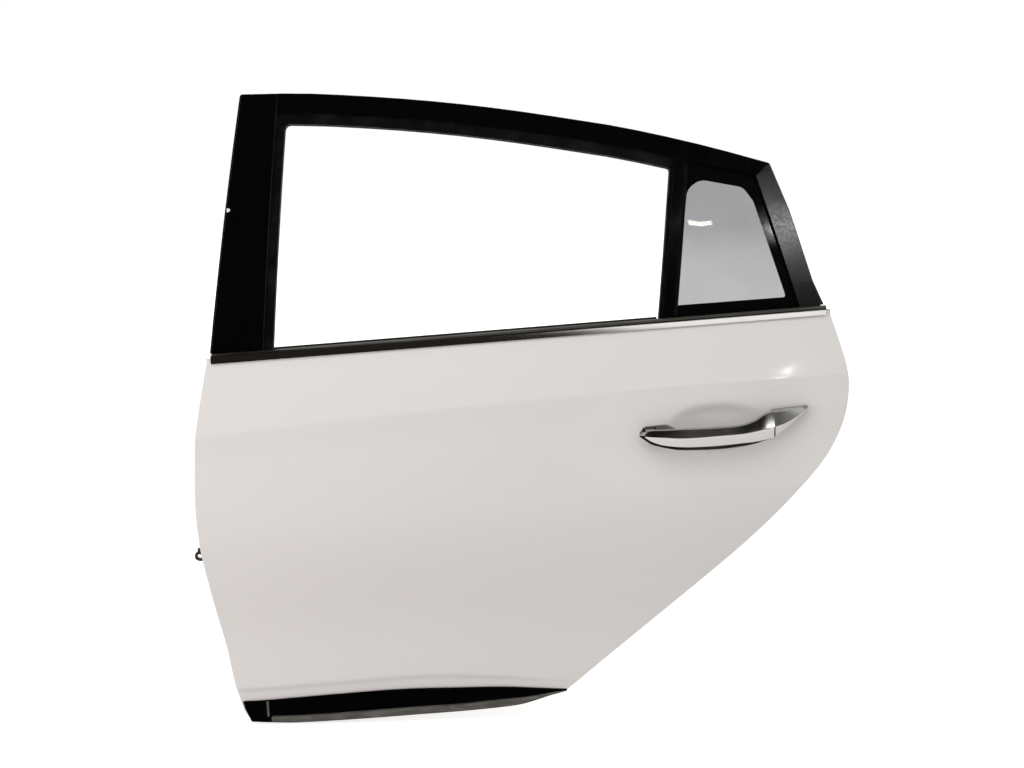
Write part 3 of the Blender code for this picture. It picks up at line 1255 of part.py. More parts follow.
def build_grip():
    frame = handle_frame()
    pivot_u, pivot_n = HANDLE_PIVOT
    rings = []
    for share, *rest in GRIP_SECTIONS:
        u = share * HANDLE_LENGTH
        back = lerp(GRIP_END_BACK, GRIP_BACK, min(u / GRIP_END, (HANDLE_LENGTH - u) / GRIP_END, 1.0))
        rings.append(handle_ring((u, *rest), (back, back)))
    grip = loft("handle_grip", rings, CHROME)
    half_u, half_v = LEG_SIZE[0] / 2.0, LEG_SIZE[1] / 2.0
    rear_u = HANDLE_LENGTH - half_u
    legs = [box("front_leg", (pivot_u - half_u, -half_v, pivot_n - 0.005), (pivot_u + half_u, half_v, 0.018)),
            box("rear_leg", (rear_u - half_u, -half_v, -LEG_REACH), (rear_u + half_u, half_v, 0.018)),
            box("rear_toe", (rear_u, -half_v, -LEG_REACH),
                (HANDLE_LENGTH + TOE_LENGTH, half_v, 0.003 - LEG_REACH))]
    combine(grip, legs, "UNION")
    bore = cylinder("pivot_bore", (pivot_u, -CUT_REACH, pivot_n), (pivot_u, CUT_REACH, pivot_n),
                    PIVOT_RADIUS + SEAT_GAP, sides=16)
    combine(grip, [bore, insert_solid("insert_pocket", None, SEAT_GAP, INSERT_THICKNESS + SEAT_GAP, 0.004)])
    insert = insert_solid("grip_insert", PAINT, 0.0, INSERT_THICKNESS, INSERT_PROUD)
    axis = frame @ Vector((pivot_u, 0.0, pivot_n))
    for item in (grip, insert):
        item.data.transform(frame)
        set_origin(item, axis)

    pin_half = half_v + LUG_THICKNESS + 0.0005
    pin = cylinder("handle_pivot_pin", (pivot_u, -pin_half, pivot_n), (pivot_u, pin_half, pivot_n),
                   PIVOT_RADIUS, ZINC, sides=14)
    pin.data.transform(frame)


def build_handle_cap():
    frame = handle_frame()
    rings = []
    for reach, low, face_top, back_top, outer in CAP_SECTIONS:
        u = HANDLE_LENGTH + reach
        backs = [skin_n(u, v) + GASKET_THICKNESS + 3.0 * SEAT_GAP for v in (low, back_top)]
        rings.append(handle_ring((u, low, face_top, back_top, outer), backs))
    cap = loft("handle_cap", rings, CHROME)
    u, v, radius = CAP_STUD
    stud = cylinder("cap_stud", (u, v, SEAT_GAP - CHASSIS_FACE), (u, v, 0.012), radius, sides=16)
    combine(cap, [stud], "UNION")
    cap.data.transform(frame)


def build_gasket(name, u, v, radius):
    """Ring that follows the skin round a hole."""
    frame = handle_frame()
    sections = []
    for k in range(24):
        turn = 2.0 * math.pi * k / 24.0
        section = []
        for reach, rise in ((0.0, 0.0), (GASKET_WIDTH, 0.0), (GASKET_WIDTH, 1.0), (0.0, 1.0)):
            at = (u + (radius + reach) * math.cos(turn), v + (radius + reach) * math.sin(turn))
            n = skin_n(*at) + SEAT_GAP * 2.0 + GASKET_THICKNESS * rise
            section.append(frame @ Vector((*at, n)))
        sections.append(section)
    loft(name, sections, RUBBER, closed=True)


def build_chassis():
    """Handle chassis behind the skin, with the pivot's lugs and the release lever."""
    frame = handle_frame()
    pivot_u, pivot_n = HANDLE_PIVOT
    half_v = LEG_SIZE[1] / 2.0
    face = -CHASSIS_FACE
    back = face - CHASSIS_THICKNESS
    lever_u, lever_n = LEVER_PIVOT
    stud_u, stud_v, stud_radius = CAP_STUD
    side = half_v + 0.008
    corners = [(-0.022, -side, 0.006), (lever_u + 0.022, -side, 0.006), (lever_u + 0.022, side, 0.006),
               (stud_u + 0.012, stud_v + 0.010, 0.006), (stud_u - 0.012, stud_v + 0.010, 0.006),
               (stud_u - 0.020, side, 0.004), (-0.022, side, 0.006)]
    rear_u = HANDLE_LENGTH - LEG_SIZE[0] / 2.0
    front_hole = rectangle(pivot_u - 0.013, -half_v - SEAT_GAP, pivot_u + 0.013, half_v + SEAT_GAP)
    rear_hole = rectangle(rear_u - 0.012, -half_v - 0.001, lever_u - 0.002, half_v + 0.001)
    web_hole = rectangle(HANDLE_LENGTH * WEB_SPAN[0], -half_v, HANDLE_LENGTH * WEB_SPAN[1], half_v)
    base = flat("handle_chassis", corners, back, face, PLASTIC, [front_hole, rear_hole, web_hole])
    adds = []
    lug = LUG_THICKNESS
    for v in (half_v + SEAT_GAP, -half_v - SEAT_GAP - lug):
        adds.append(box("pivot_lug", (pivot_u - 0.006, v, back + 0.001),
                        (pivot_u + 0.006, v + lug, pivot_n + 0.005)))
    for v in (LEVER_HUB_HALF + SEAT_GAP, -LEVER_HUB_HALF - SEAT_GAP - lug):
        adds.append(box("lever_lug", (lever_u - 0.005, v, lever_n - 0.005),
                        (lever_u + 0.005, v + lug, face - 0.001)))
    for u in (-0.013, lever_u + 0.014):
        top = skin_n(u, 0.0) - SHEET - 0.0012
        adds.append(cylinder("chassis_boss", (u, 0.0, back + 0.001), (u, 0.0, top), 0.005, sides=14))
    combine(base, adds, "UNION")
    bores = [cylinder("chassis_bore", (u, -CUT_REACH, n), (u, CUT_REACH, n), PIVOT_RADIUS + SEAT_GAP,
                      sides=16) for u, n in (HANDLE_PIVOT, LEVER_PIVOT)]
    combine(base, bores)
    base.data.transform(frame)

    reach = HANDLE_LENGTH + LEVER_CLEARANCE
    toe = 0.003 - LEG_REACH + SEAT_GAP
    half = LEVER_THICKNESS / 2.0
    arm = box("release_lever", (reach, -half, toe), (lever_u, half, toe + 0.0035), ZINC)
    hub_half = LEVER_HUB_HALF
    hub = cylinder("lever_hub", (lever_u, -hub_half, lever_n), (lever_u, hub_half, lever_n), 0.0045, sides=18)
    tail = box("lever_tail", (lever_u - 0.0025, -half, lever_n - 0.022), (lever_u + 0.0025, half, lever_n))
    combine(arm, [hub, tail], "UNION")
    axle_half = LEVER_HUB_HALF + SEAT_GAP + LUG_THICKNESS
    axle = cylinder("lever_axle", (lever_u, -axle_half, lever_n), (lever_u, axle_half, lever_n), PIVOT_RADIUS,
                    sides=16)
    combine(arm, [axle], "UNION")
    arm.data.transform(frame)
    set_origin(arm, frame @ Vector((lever_u, 0.0, lever_n)))


def rectangle(x0, y0, x1, y1):
    return [(x0, y0), (x1, y0), (x1, y1), (x0, y1)]


# Latch and door check

def build_latch():
    face = latch_face() - SHEET - SEAT_GAP
    back = face - LATCH_DEPTH
    low, high = LATCH_Y
    z0, z1 = LATCH_HEIGHT - LATCH_HALF_HEIGHT, LATCH_HEIGHT + LATCH_HALF_HEIGHT
    pivot_y, pivot_z = CLAW_PIVOT[0], LATCH_HEIGHT + CLAW_PIVOT[1]
    corners = [(low, z0, 0.006), (high, z0, 0.003), (high, z1, 0.003), (low, z1, 0.012)]
    case = end_plate("latch_case", corners, back, face, PLASTIC)
    floor = face - CLAW_THICKNESS * 2.2
    pocket = cylinder("claw_pocket", (floor, pivot_y, pivot_z), (face + 0.01, pivot_y, pivot_z),
                      CLAW_RADIUS + CLAW_CLEARANCE, sides=32)
    slot = box("case_slot", (floor, pivot_y - 0.004, LATCH_HEIGHT - LATCH_SLOT * 0.4),
               (face + 0.01, high + 0.01, LATCH_HEIGHT + LATCH_SLOT * 0.4))
    combine(case, [pocket, slot])
    boss = cylinder("claw_boss", (floor - 0.001, pivot_y, pivot_z), (face - 0.001, pivot_y, pivot_z),
                    CLAW_BOSS)
    combine(case, [boss], "UNION")

    start = floor + CLAW_THICKNESS * 0.5
    claw = cylinder("latch_claw", (start, pivot_y, pivot_z), (start + CLAW_THICKNESS, pivot_y, pivot_z),
                    CLAW_RADIUS, ZINC, sides=32)
    bore = cylinder("claw_bore", (start - 0.01, pivot_y, pivot_z), (start + 0.02, pivot_y, pivot_z),
                    CLAW_BOSS + SEAT_GAP, sides=20)
    throat = box("claw_throat", (start - 0.01, pivot_y - 0.006, LATCH_HEIGHT - CLAW_THROAT / 2.0),
                 (start + 0.02, pivot_y + 0.04, LATCH_HEIGHT + CLAW_THROAT / 2.0))
    relief = box("claw_relief", (start - 0.01, pivot_y - 0.04, pivot_z - 0.04),
                 (start + 0.02, pivot_y - 0.012, pivot_z - 0.004))
    combine(claw, [bore, throat, relief])
    set_origin(claw, (start + CLAW_THICKNESS / 2.0, pivot_y, pivot_z))


def build_check():
    depth, width, height = CHECK_BOX
    arm_y, arm_z = CHECK_ARM
    front = SHEET + SEAT_GAP
    case = box("check_box", (front, CHECK_Y - width / 2.0, CHECK_HEIGHT - height / 2.0),
               (front + depth, CHECK_Y + width / 2.0, CHECK_HEIGHT + height / 2.0), PLASTIC)
    slot_y, slot_z = arm_y / 2.0 + SEAT_GAP, arm_z / 2.0 + SEAT_GAP
    slot = box("arm_slot", (-CUT_REACH, CHECK_Y - slot_y, CHECK_HEIGHT - slot_z),
               (front + depth + CUT_REACH, CHECK_Y + slot_y, CHECK_HEIGHT + slot_z))
    combine(case, [slot])

    end = CHECK_EYE_X + CHECK_ARM_LENGTH
    half = arm_z / 2.0
    eye = (CHECK_EYE_X, CHECK_HEIGHT)
    nose = [(eye[0] - half, eye[1] - half, half * 0.9), (end, eye[1] - half, 0.002),
            (end, eye[1] + half, 0.002), (eye[0] - half, eye[1] + half, half * 0.9)]
    arm = side_plate("check_arm", nose, CHECK_Y - arm_y / 2.0, CHECK_Y + arm_y / 2.0, ZINC)
    hole = cylinder("arm_eye", (eye[0], CHECK_Y - 0.01, eye[1]), (eye[0], CHECK_Y + 0.01, eye[1]), half * 0.5,
                    sides=16)
    combine(arm, [hole])
    stop = cylinder("arm_stop", (end - 0.006, CHECK_Y - 0.008, CHECK_HEIGHT),
                    (end - 0.006, CHECK_Y + 0.008, CHECK_HEIGHT), 0.005, sides=14)
    nub = cylinder("arm_nub", (eye[0] + 0.001, CHECK_Y, CHECK_HEIGHT + half - 0.003),
                   (eye[0] + 0.001, CHECK_Y, CHECK_HEIGHT + half + 0.006), 0.0045, sides=14)
    combine(arm, [stop, nub], "UNION")
    set_origin(arm, (CHECK_EYE_X, CHECK_Y, CHECK_HEIGHT))


# Strengthening pieces

def build_hinge_plates():
    across, height = HINGE_PLATE
    front = SHEET + SEAT_GAP
    for name, z in (("hinge_reinforcement_lower", 0.0), ("hinge_reinforcement_upper", HINGE_SPACING)):
        corners = [(-across / 2.0, z - height / 2.0, 0.008), (across / 2.0, z - height / 2.0, 0.008),
                   (across / 2.0, z + height / 2.0, 0.008), (-across / 2.0, z + height / 2.0, 0.008)]
        plate = end_plate(name, corners, front, front + HINGE_PLATE_THICKNESS, ZINC)
        combine(plate, hinge_bolts(-CUT_REACH, CUT_REACH))


def build_beam():
    start, end = Vector(BEAM_FRONT), Vector(BEAM_REAR)
    beam = cylinder("impact_beam", start, end, BEAM_RADIUS, ZINC, sides=24)
    along = (end - start).normalized() * 0.01
    combine(beam, [cylinder("beam_bore", start - along, end + along, BEAM_RADIUS - BEAM_WALL, sides=24)])
    half = BRACKET_HALF_HEIGHT

    seat = start.y + BEAM_RADIUS + SEAT_GAP
    front = SHEET + SEAT_GAP
    rise = (end.y - start.y) / (end.x - start.x) * BRACKET_OVERLAP
    web = rectangle(front, start.z - half, start.x + BRACKET_OVERLAP, start.z + half)
    plate = side_plate("beam_bracket_front", web, seat + rise, seat + rise + BRACKET_THICKNESS, ZINC)
    flange = box("bracket_flange", (front, start.y - BEAM_RADIUS, start.z - half),
                 (front + BRACKET_THICKNESS, seat + rise + BRACKET_THICKNESS, start.z + half))
    combine(plate, [flange], "UNION")

    seat = end.y + BEAM_RADIUS + SEAT_GAP
    z0, z1 = end.z - half, end.z + half
    inset = SHEET * 2.0 + SEAT_GAP
    corners = [(end.x - BRACKET_OVERLAP, z0), (rear_wall_x(z0) - inset, z0), (rear_wall_x(z1) - inset, z1),
               (end.x - BRACKET_OVERLAP, z1)]
    side_plate("beam_bracket_rear", corners, seat, seat + BRACKET_THICKNESS, ZINC)


def build_sash_brackets():
    """Straps from the sashes to the inner face."""
    far = INNER_FACE_Y - SHEET - SEAT_GAP
    thick = 0.0018
    back_front = -GLASS_THICKNESS - LIP_GAP - CHANNEL_BACK - SEAT_GAP - SASH_WALL
    for name, s, h, back in (("sash_bracket_front", POST_EDGE, SASH_FOOT_FRONT + 0.016, back_front),
                             ("sash_bracket_rear", DIVIDER_FACE[1] - 0.010, SASH_FOOT_REAR + 0.016,
                              0.002 - FRAME_INNER_DEPTH)):
        start = on_glass(s, h, back - SEAT_GAP)
        x0, x1, x2 = start.x - 0.008, start.x + 0.009, start.x + 0.034
        y0 = start.y + 0.0006
        corners = [(x0, y0), (x1, y0), (x1, far - thick), (x2, far - thick), (x2, far), (x1 - thick, far),
                   (x1 - thick, y0 + thick), (x0, y0 + thick)]
        flat(name, corners, start.z - 0.010, start.z + 0.010, ZINC)


def build_weatherstrip():
    """Tube round the pan's land and up the back of the window frame."""
    radius = STRIP_RADIUS
    depth = INNER_FACE_Y - SHUT_STEP + radius + SEAT_GAP
    back = -FRAME_INNER_DEPTH - radius - SEAT_GAP
    lower = []
    places = [Vector(p) for p in pan_places(SEAL_LAND)]
    for k in range(1, len(places) - 1):
        along = (places[k + 1] - places[k - 1]).normalized()
        spot = places[k] + Vector((along.y, -along.x)) * (radius + 2.0 * SHEET)
        if not lower or (spot - lower[-1]).length > 0.010:
            lower.append(spot)
    points = []
    for spot in lower:
        rise = spot.x > LATCH_FACE_X * 0.9 and spot.y > belt_z(spot.x) - 0.030
        points.append(Vector((spot.x, glass_y(spot.x, spot.y, back) if rise else depth, spot.y)))
    inset = radius + 0.002
    upper = []
    for (s0, h0), (s1, h1) in (((FRAME_REAR_FOOT, belt_h(FRAME_REAR_FOOT) + 0.010), FRAME_REAR[1]),
                               (FRAME_REAR[1], FRAME_REAR[0]), (FRAME_REAR[0], FRAME_TOP[-1])):
        upper += [(lerp(s0, s1, t) - inset, lerp(h0, h1, t) - inset * 0.3) for t in (0.0, 0.5)]
    top = [(FRAME_TOP[-1][0] - inset * 1.4, FRAME_TOP[-1][1] - inset * 1.3), *reversed(FRAME_TOP[1:-1])]
    upper += [(s, h - (inset if k else 0.0)) for k, (s, h) in enumerate(top)]
    top_s, top_h = FRAME_TOP[0]
    upper += [(top_s + inset * 1.6, top_h - inset * 1.2)]
    foot_h = belt_h(FRAME_FRONT[0]) + 0.036
    upper += [(front_s(h) + inset, h) for h in (lerp(top_h - 0.03, foot_h, k / 5.0) for k in range(6))]
    points += [on_glass(s, h, back) for s, h in upper]
    first = lower[0]
    points += [Vector((first.x - 0.003, depth, belt_z(first.x) + 0.010)),
               Vector((first.x, depth, belt_z(first.x) - 0.004))]
    curve = bpy.data.curves.new("door_weatherstrip", "CURVE")
    curve.dimensions = "3D"
    curve.bevel_depth = radius
    curve.bevel_resolution = 2
    line = curve.splines.new("POLY")
    line.points.add(len(points) - 1)
    line.use_cyclic_u = True
    for target, point in zip(line.points, points):
        target.co = (*point, 1.0)
    source = bpy.data.objects.new("weatherstrip_curve", curve)
    parts.objects.link(source)
    bpy.context.view_layer.update()
    mesh = read_mesh(source)
    bpy.data.objects.remove(source)
    add_object("door_weatherstrip", mesh, RUBBER)


build_outer_panel()
build_inner_panel()
build_window_frame()
build_divider()
build_run_channel()
build_frame_trims()
build_quarter_window()
build_drop_glass()
build_regulator()
build_belt()
build_garnish()
build_grip()
build_handle_cap()
build_gasket("handle_gasket_front", HANDLE_PIVOT[0], 0.0, LEG_HOLE)
build_chassis()
build_latch()
build_check()
build_hinge_plates()
build_beam()
build_sash_brackets()
build_weatherstrip()
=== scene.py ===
"""Looks of a rear car door shell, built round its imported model.

Everything is in metres, in the model's own frame: X towards the rear of the car,
Y inboard and Z up, with the origin on the lower hinge's face.
"""

import json
import math

import bmesh
import bpy
from mathutils import Matrix, Vector


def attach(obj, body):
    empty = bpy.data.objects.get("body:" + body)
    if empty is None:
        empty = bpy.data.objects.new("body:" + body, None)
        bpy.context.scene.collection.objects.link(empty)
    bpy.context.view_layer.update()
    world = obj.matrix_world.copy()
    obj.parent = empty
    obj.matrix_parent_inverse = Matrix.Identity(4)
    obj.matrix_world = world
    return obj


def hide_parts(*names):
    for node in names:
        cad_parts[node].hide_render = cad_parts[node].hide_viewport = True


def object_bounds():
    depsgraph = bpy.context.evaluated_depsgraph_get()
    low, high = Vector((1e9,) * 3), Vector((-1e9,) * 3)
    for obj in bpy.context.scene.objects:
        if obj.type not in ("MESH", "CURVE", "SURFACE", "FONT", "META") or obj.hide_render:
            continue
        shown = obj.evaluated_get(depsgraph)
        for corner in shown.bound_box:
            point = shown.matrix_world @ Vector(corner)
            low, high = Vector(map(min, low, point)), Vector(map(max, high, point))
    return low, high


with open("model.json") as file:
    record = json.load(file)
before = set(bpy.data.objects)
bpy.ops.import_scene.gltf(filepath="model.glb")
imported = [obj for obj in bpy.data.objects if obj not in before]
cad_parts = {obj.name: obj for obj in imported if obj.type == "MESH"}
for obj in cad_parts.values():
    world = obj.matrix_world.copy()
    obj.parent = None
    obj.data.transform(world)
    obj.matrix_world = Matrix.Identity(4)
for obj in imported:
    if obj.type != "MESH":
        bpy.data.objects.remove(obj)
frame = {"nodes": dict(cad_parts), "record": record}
nodes = frame["nodes"]
cad_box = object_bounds()

# Camera, by the photograph's view
CAMERA_PLACE = (0.497, -2.0886, 1.1802)
CAMERA_PITCH = math.radians(20.0)
CAMERA_LENS = 45.703
SENSOR_WIDTH = 36.0

# Sheets and clearances, as in the model
SHEET = 0.0009
SEAT_GAP = 0.0003

# Glass cylinder and belt line
GLASS_LEAN = math.radians(4.0)
GLASS_RADIUS = 2.0
GLASS_AXIS_Y = 1.9723
GLASS_AXIS_HEIGHT = 0.1220
GLASS_THICKNESS = 0.0032
BELT_HEIGHT = 0.462
BELT_SLOPE = 0.0743
SKIN_STANDOFF = 0.016
BELT_SETBACK = SKIN_STANDOFF / 4.0
BELT_FLANGE = 0.009

# Feature lines and edges of the skin
CREASE_HEIGHT = 0.350
CREASE_SLOPE = 0.135
CREASE_BEND = -0.042
LOWER_CREASE = [(-0.05, -0.144), (0.006, -0.140), (0.160, -0.127), (0.340, -0.1125),
                (0.477, -0.117), (0.606, -0.129), (0.90, -0.131), (1.2, -0.131)]
BOTTOM_EDGE = [(-0.05, -0.206), (0.045, -0.2072), (0.110, -0.2080), (0.307, -0.1948),
               (0.504, -0.1765), (0.597, -0.150), (0.90, -0.152), (1.2, -0.152)]
FRONT_EDGE = [(-0.215, 0.027), (-0.1893, 0.0113), (-0.1125, -0.0046), (-0.0649, -0.0107),
              (0.0089, -0.0225), (0.0851, -0.0325), (0.157, -0.0405), (0.223, -0.0436),
              (0.286, -0.0422), (0.348, -0.0374), (0.424, -0.0257), (0.462, -0.0192), (0.50, -0.0125)]
REAR_EDGE = [(-0.16, 0.585), (-0.124, 0.6222), (-0.027, 0.728), (0.0674, 0.8244), (0.1646, 0.918),
             (0.2563, 0.9979), (0.2987, 1.030), (0.3408, 1.0515), (0.3811, 1.0638),
             (0.4226, 1.0664), (0.4613, 1.0610), (0.499, 1.0493), (0.54, 1.035), (0.58, 1.018)]
SHOULDER_SECTION = [(0.0, 0.0), (0.5, -0.024), (1.0, -0.044)]
SIDE_SECTION = [(0.0, -0.044), (0.03, -0.0452), (0.09, -0.048), (0.21, -0.058), (0.38, -0.068),
                (0.50, -0.0665), (0.63, -0.060), (0.75, -0.054), (0.86, -0.053), (1.0, -0.057)]
SILL_STEP = 0.0028
SILL_LEAN = 0.0020
SILL_BAND = 0.067
SILL_STEP_SHARE = 0.10
PLAN_BOW = 0.006
DOOR_MIDDLE = 0.51
DOOR_HALF_LENGTH = 0.55

# Density of the skin's grid and its hem
SKIN_COLUMNS = 250
SHOULDER_STEPS = 30
SIDE_STEPS = 96
SILL_STEPS = 16
HEM_WIDTH = 0.0065
HEM_DEPTH = 0.0035
SKIN_INSET = 0.0002
FOLD_STEPS = 6

# Quarter opening, as S along the belt and H up the developed glass
QUARTER_TOP = [(0.7378, 0.8500), (0.8462, 0.8390), (0.8525, 0.8325)]
QUARTER_REAR = (0.9364, 0.6365)
QUARTER_SEAL_EDGE = 0.007
QUARTER_SILL = 0.012
DIVIDER_REAR = 0.7325
QUARTER_MIDDLE = (0.822, 0.700)
QUARTER_RAYS = 120

# Clear part of the quarter glass, inside its black print, with a corner radius
QUARTER_SIGHT = [(0.7345, 0.6080, 0.004), (0.9210, 0.6350, 0.004), (0.8530, 0.7930, 0.026),
                 (0.8340, 0.8150, 0.022), (0.7600, 0.8230, 0.034), (0.7395, 0.8050, 0.034)]

# Belt moulding, whose bevel grows rearwards over a span of X
MOULDING_FACE = 0.0156
MOULDING_PROUD = 0.0035
MOULDING_WALL = 0.0012
MOULDING_SPAN = (-0.0105, 1.0270)
MOULDING_STEPS = 90
MOULDING_BEVEL = (0.0010, 0.0034)
MOULDING_BEVEL_START = 0.05
MOULDING_BEVEL_SPAN = 0.40
# Strips painted black as painted shade: the moulding's bottom edge and the groove under its bevel
PAINTED_SHADE_STRIPS = (0, 1, 6, 7, 8)
LEDGE_STRIPS = (9, 10, 11)

# Sill garnish; a row of its shape is X, share of the scoop, share of the lip and how proud
GARNISH_TOP = [(0.0098, -0.1657), (0.046, -0.1635), (0.158, -0.153), (0.294, -0.142),
               (0.403, -0.140), (0.495, -0.140), (0.595, -0.1458)]
GARNISH_SHAPE = [(0.0098, 2.1, 0.27, 0.0042), (0.044, 2.1, 0.27, 0.005), (0.066, 0.75, 0.27, 0.005),
                 (0.156, 0.75, 0.266, 0.005), (0.293, 0.75, 0.284, 0.005), (0.402, 0.75, 0.30, 0.005),
                 (0.486, 0.75, 0.38, 0.0048), (0.540, 0.85, 0.40, 0.0042), (0.580, 1.0, 0.42, 0.0030),
                 (0.5965, 1.1, 0.42, 0.0008)]
GARNISH_PROUD = 0.005
GARNISH_LIP = 0.0105
GARNISH_SKEW = 0.354
SKEW_SPAN = 0.034
GARNISH_STEPS = 150

# Grey places of the garnish, a painted sheen: the lip from an X rearwards, and a stripe across its face
LIP_STRIPS = (6, 7, 8)
LIP_SHEEN_FROM = 0.062
STRIPE_RING = 11
STRIPE_STRIPS = (2, 3, 4, 5)

# Handle, in its own frame on the skin: U rearwards, V up, N out
HANDLE_LENGTH = 0.2215
HANDLE_START = (0.7135, 0.353)
HANDLE_RISE = 0.044
HANDLE_PIVOT = (0.016, -0.010)
RECESS_PLACE = (0.84825, 0.362)
RECESS_REACH = (0.092, 0.040)
RECESS_DEPTH = 0.012
HANDLE_STATIONS = 80
CAP_STATIONS = 36

# Grip sections: share of the length, lowest V, top V of the face, top V behind, outer N
GRIP_SECTIONS = [(-0.016, -0.0016, 0.0014, 0.0032, 0.0225), (0.018, -0.0066, 0.002, 0.0062, 0.026),
                 (0.063, -0.013, 0.002, 0.010, 0.030), (0.158, -0.019, 0.001, 0.011, 0.034),
                 (0.271, -0.0235, -0.001, 0.0112, 0.037), (0.442, -0.0252, -0.001, 0.0105, 0.038),
                 (0.596, -0.0255, 0.0, 0.0105, 0.038), (0.745, -0.0230, 0.001, 0.012, 0.038),
                 (0.858, -0.0195, 0.004, 0.019, 0.037), (0.930, -0.0150, 0.007, 0.028, 0.036),
                 (1.0, -0.0110, 0.009, 0.032, 0.035)]
GRIP_BACK = 0.020
GRIP_END_BACK = 0.014
GRIP_END = 0.035
GRIP_TIP = -0.016
GRIP_CROWDING = 1.25

# Cap sections, with U from the grip's rear end
CAP_SECTIONS = [(0.0010, -0.0100, 0.009, 0.0275, 0.035), (0.0185, 0.0005, 0.0130, 0.0290, 0.031),
                (0.0365, 0.0120, 0.0190, 0.0298, 0.0235), (0.0540, 0.0230, 0.0262, 0.0304, 0.013),
                (0.0620, 0.0285, 0.0300, 0.0310, 0.0085)]
PAINTED_STRIPS = 17

# Insert in the grip's face: share of the length, lowest V and highest V
INSERT_SECTIONS = [(0.020, -0.0004, 0.0012), (0.060, -0.0062, 0.0010), (0.110, -0.0108, 0.0006),
                   (0.167, -0.0140, 0.0002), (0.293, -0.0172, -0.0016), (0.442, -0.0184, -0.0016),
                   (0.596, -0.0180, -0.0006), (0.745, -0.0162, 0.0004), (0.858, -0.0150, 0.0033),
                   (0.930, -0.0128, 0.0062), (0.994, -0.0102, 0.0084)]
INSERT_DEPTH = 0.0030
INSERT_PROUD = 0.0003

# Legs and toe behind the grip, and the cap's stud as its U, V and radius
LEG_SIZE = (0.016, 0.012)
LEG_REACH = 0.040
LEG_ROOT = 0.018
TOE_LENGTH = 0.006
TOE_HEIGHT = 0.003
CAP_STUD = (0.2495, 0.018, 0.0045)
STUD_MIDDLE = -0.0065
STUD_LENGTH = 0.037

# Holes in the skin: half sizes of a leg's, the stud's over its radius, half length of the cutters
LEG_HOLE = (0.011, 0.0068)
STUD_HOLE = 1.5
CUT_DEPTH = 0.03

# Pad under the handle's front end, in its U and V, with a corner radius
PAD_OUTLINE = [(-0.0020, -0.0030, 0.003), (0.008, -0.0140, 0.010), (0.052, -0.0140, 0.008),
               (0.062, 0.0020, 0.006), (0.046, 0.0105, 0.012), (0.008, 0.0084, 0.008)]
PAD_THICKNESS = 0.0016
PAD_LIFT = 0.0002


def spline(points, t):
    """Smooth curve through the points, read at t as a table of first over second."""
    if t <= points[0][0]:
        return points[0][1]
    if t >= points[-1][0]:
        return points[-1][1]
    slopes = []
    for k in range(len(points)):
        a = points[max(k - 1, 0)]
        b = points[min(k + 1, len(points) - 1)]
        slopes.append((b[1] - a[1]) / (b[0] - a[0]))
    k = max(i for i in range(len(points) - 1) if points[i][0] <= t)
    (x0, y0), (x1, y1) = points[k], points[k + 1]
    step = x1 - x0
    u = (t - x0) / step
    blend = u * u * (3.0 - 2.0 * u)
    return (y0 * (1.0 - blend) + y1 * blend
            + step * slopes[k] * u * (1.0 - u) ** 2 - step * slopes[k + 1] * u * u * (1.0 - u))


def lerp(a, b, t):
    return a + (b - a) * t


def belt_z(x):
    return BELT_HEIGHT + BELT_SLOPE * x


def crease_z(x):
    return CREASE_HEIGHT + CREASE_SLOPE * x + CREASE_BEND * x * x


def feature_lines(x):
    return [belt_z(x), crease_z(x), spline(LOWER_CREASE, x), spline(BOTTOM_EDGE, x)]


def level_z(level, x):
    """Height of a row: 0 at the belt, 1 crease, 2 lower crease, 3 bottom edge."""
    lines = feature_lines(x)
    k = min(int(level), 2)
    return lerp(lines[k], lines[k + 1], level - k)


def level_at(x, z):
    lines = feature_lines(x)
    k = next((i for i in range(3) if z >= lines[i + 1]), 2)
    return k + (lines[k] - z) / (lines[k] - lines[k + 1])


def glass_y(x, z, outboard=0.0):
    """Depth of the glass cylinder at a point of the side view."""
    across = x * math.sin(GLASS_LEAN) + z * math.cos(GLASS_LEAN) - GLASS_AXIS_HEIGHT
    return GLASS_AXIS_Y - math.sqrt((GLASS_RADIUS + outboard) ** 2 - across ** 2)


def on_glass(s, h, d):
    """Point at s along the belt, h up the glass and d outboard of its outer face."""
    angle = (h - GLASS_AXIS_HEIGHT) / GLASS_RADIUS
    radius = GLASS_RADIUS + d
    up = GLASS_AXIS_HEIGHT + radius * math.sin(angle)
    return Vector((s * math.cos(GLASS_LEAN) + up * math.sin(GLASS_LEAN),
                   GLASS_AXIS_Y - radius * math.cos(angle),
                   up * math.cos(GLASS_LEAN) - s * math.sin(GLASS_LEAN)))


def skin_y(x, z):
    """Depth of the skin's outer face at a point of the side view, without the recess."""
    level = level_at(x, z)
    if level <= 1.0:
        depth = spline(SHOULDER_SECTION, level)
    elif level <= 2.0:
        depth = spline(SIDE_SECTION, level - 1.0)
    else:
        band = min((spline(LOWER_CREASE, x) - spline(BOTTOM_EDGE, x)) / SILL_BAND, 1.0)
        share = level - 2.0
        step = SILL_STEP * min(share / SILL_STEP_SHARE, 1.0) * band ** 2
        depth = SIDE_SECTION[-1][1] + step + SILL_LEAN * share * band
    crown = 1.0 - ((x - DOOR_MIDDLE) / DOOR_HALF_LENGTH) ** 2
    return glass_y(x, belt_z(x), SKIN_STANDOFF) + depth - PLAN_BOW * crown * min(max(level, 0.0), 1.0)


def recess(x, z):
    """Depth of the hand recess below the skin."""
    across = ((x - RECESS_PLACE[0]) / RECESS_REACH[0]) ** 2
    upright = ((z - RECESS_PLACE[1]) / RECESS_REACH[1]) ** 2
    reach = min(max(1.0 - across - upright, 0.0), 1.0)
    return RECESS_DEPTH * reach * reach * (3.0 - 2.0 * reach)


def skin_point(x, z):
    return Vector((x, skin_y(x, z) + recess(x, z), z))


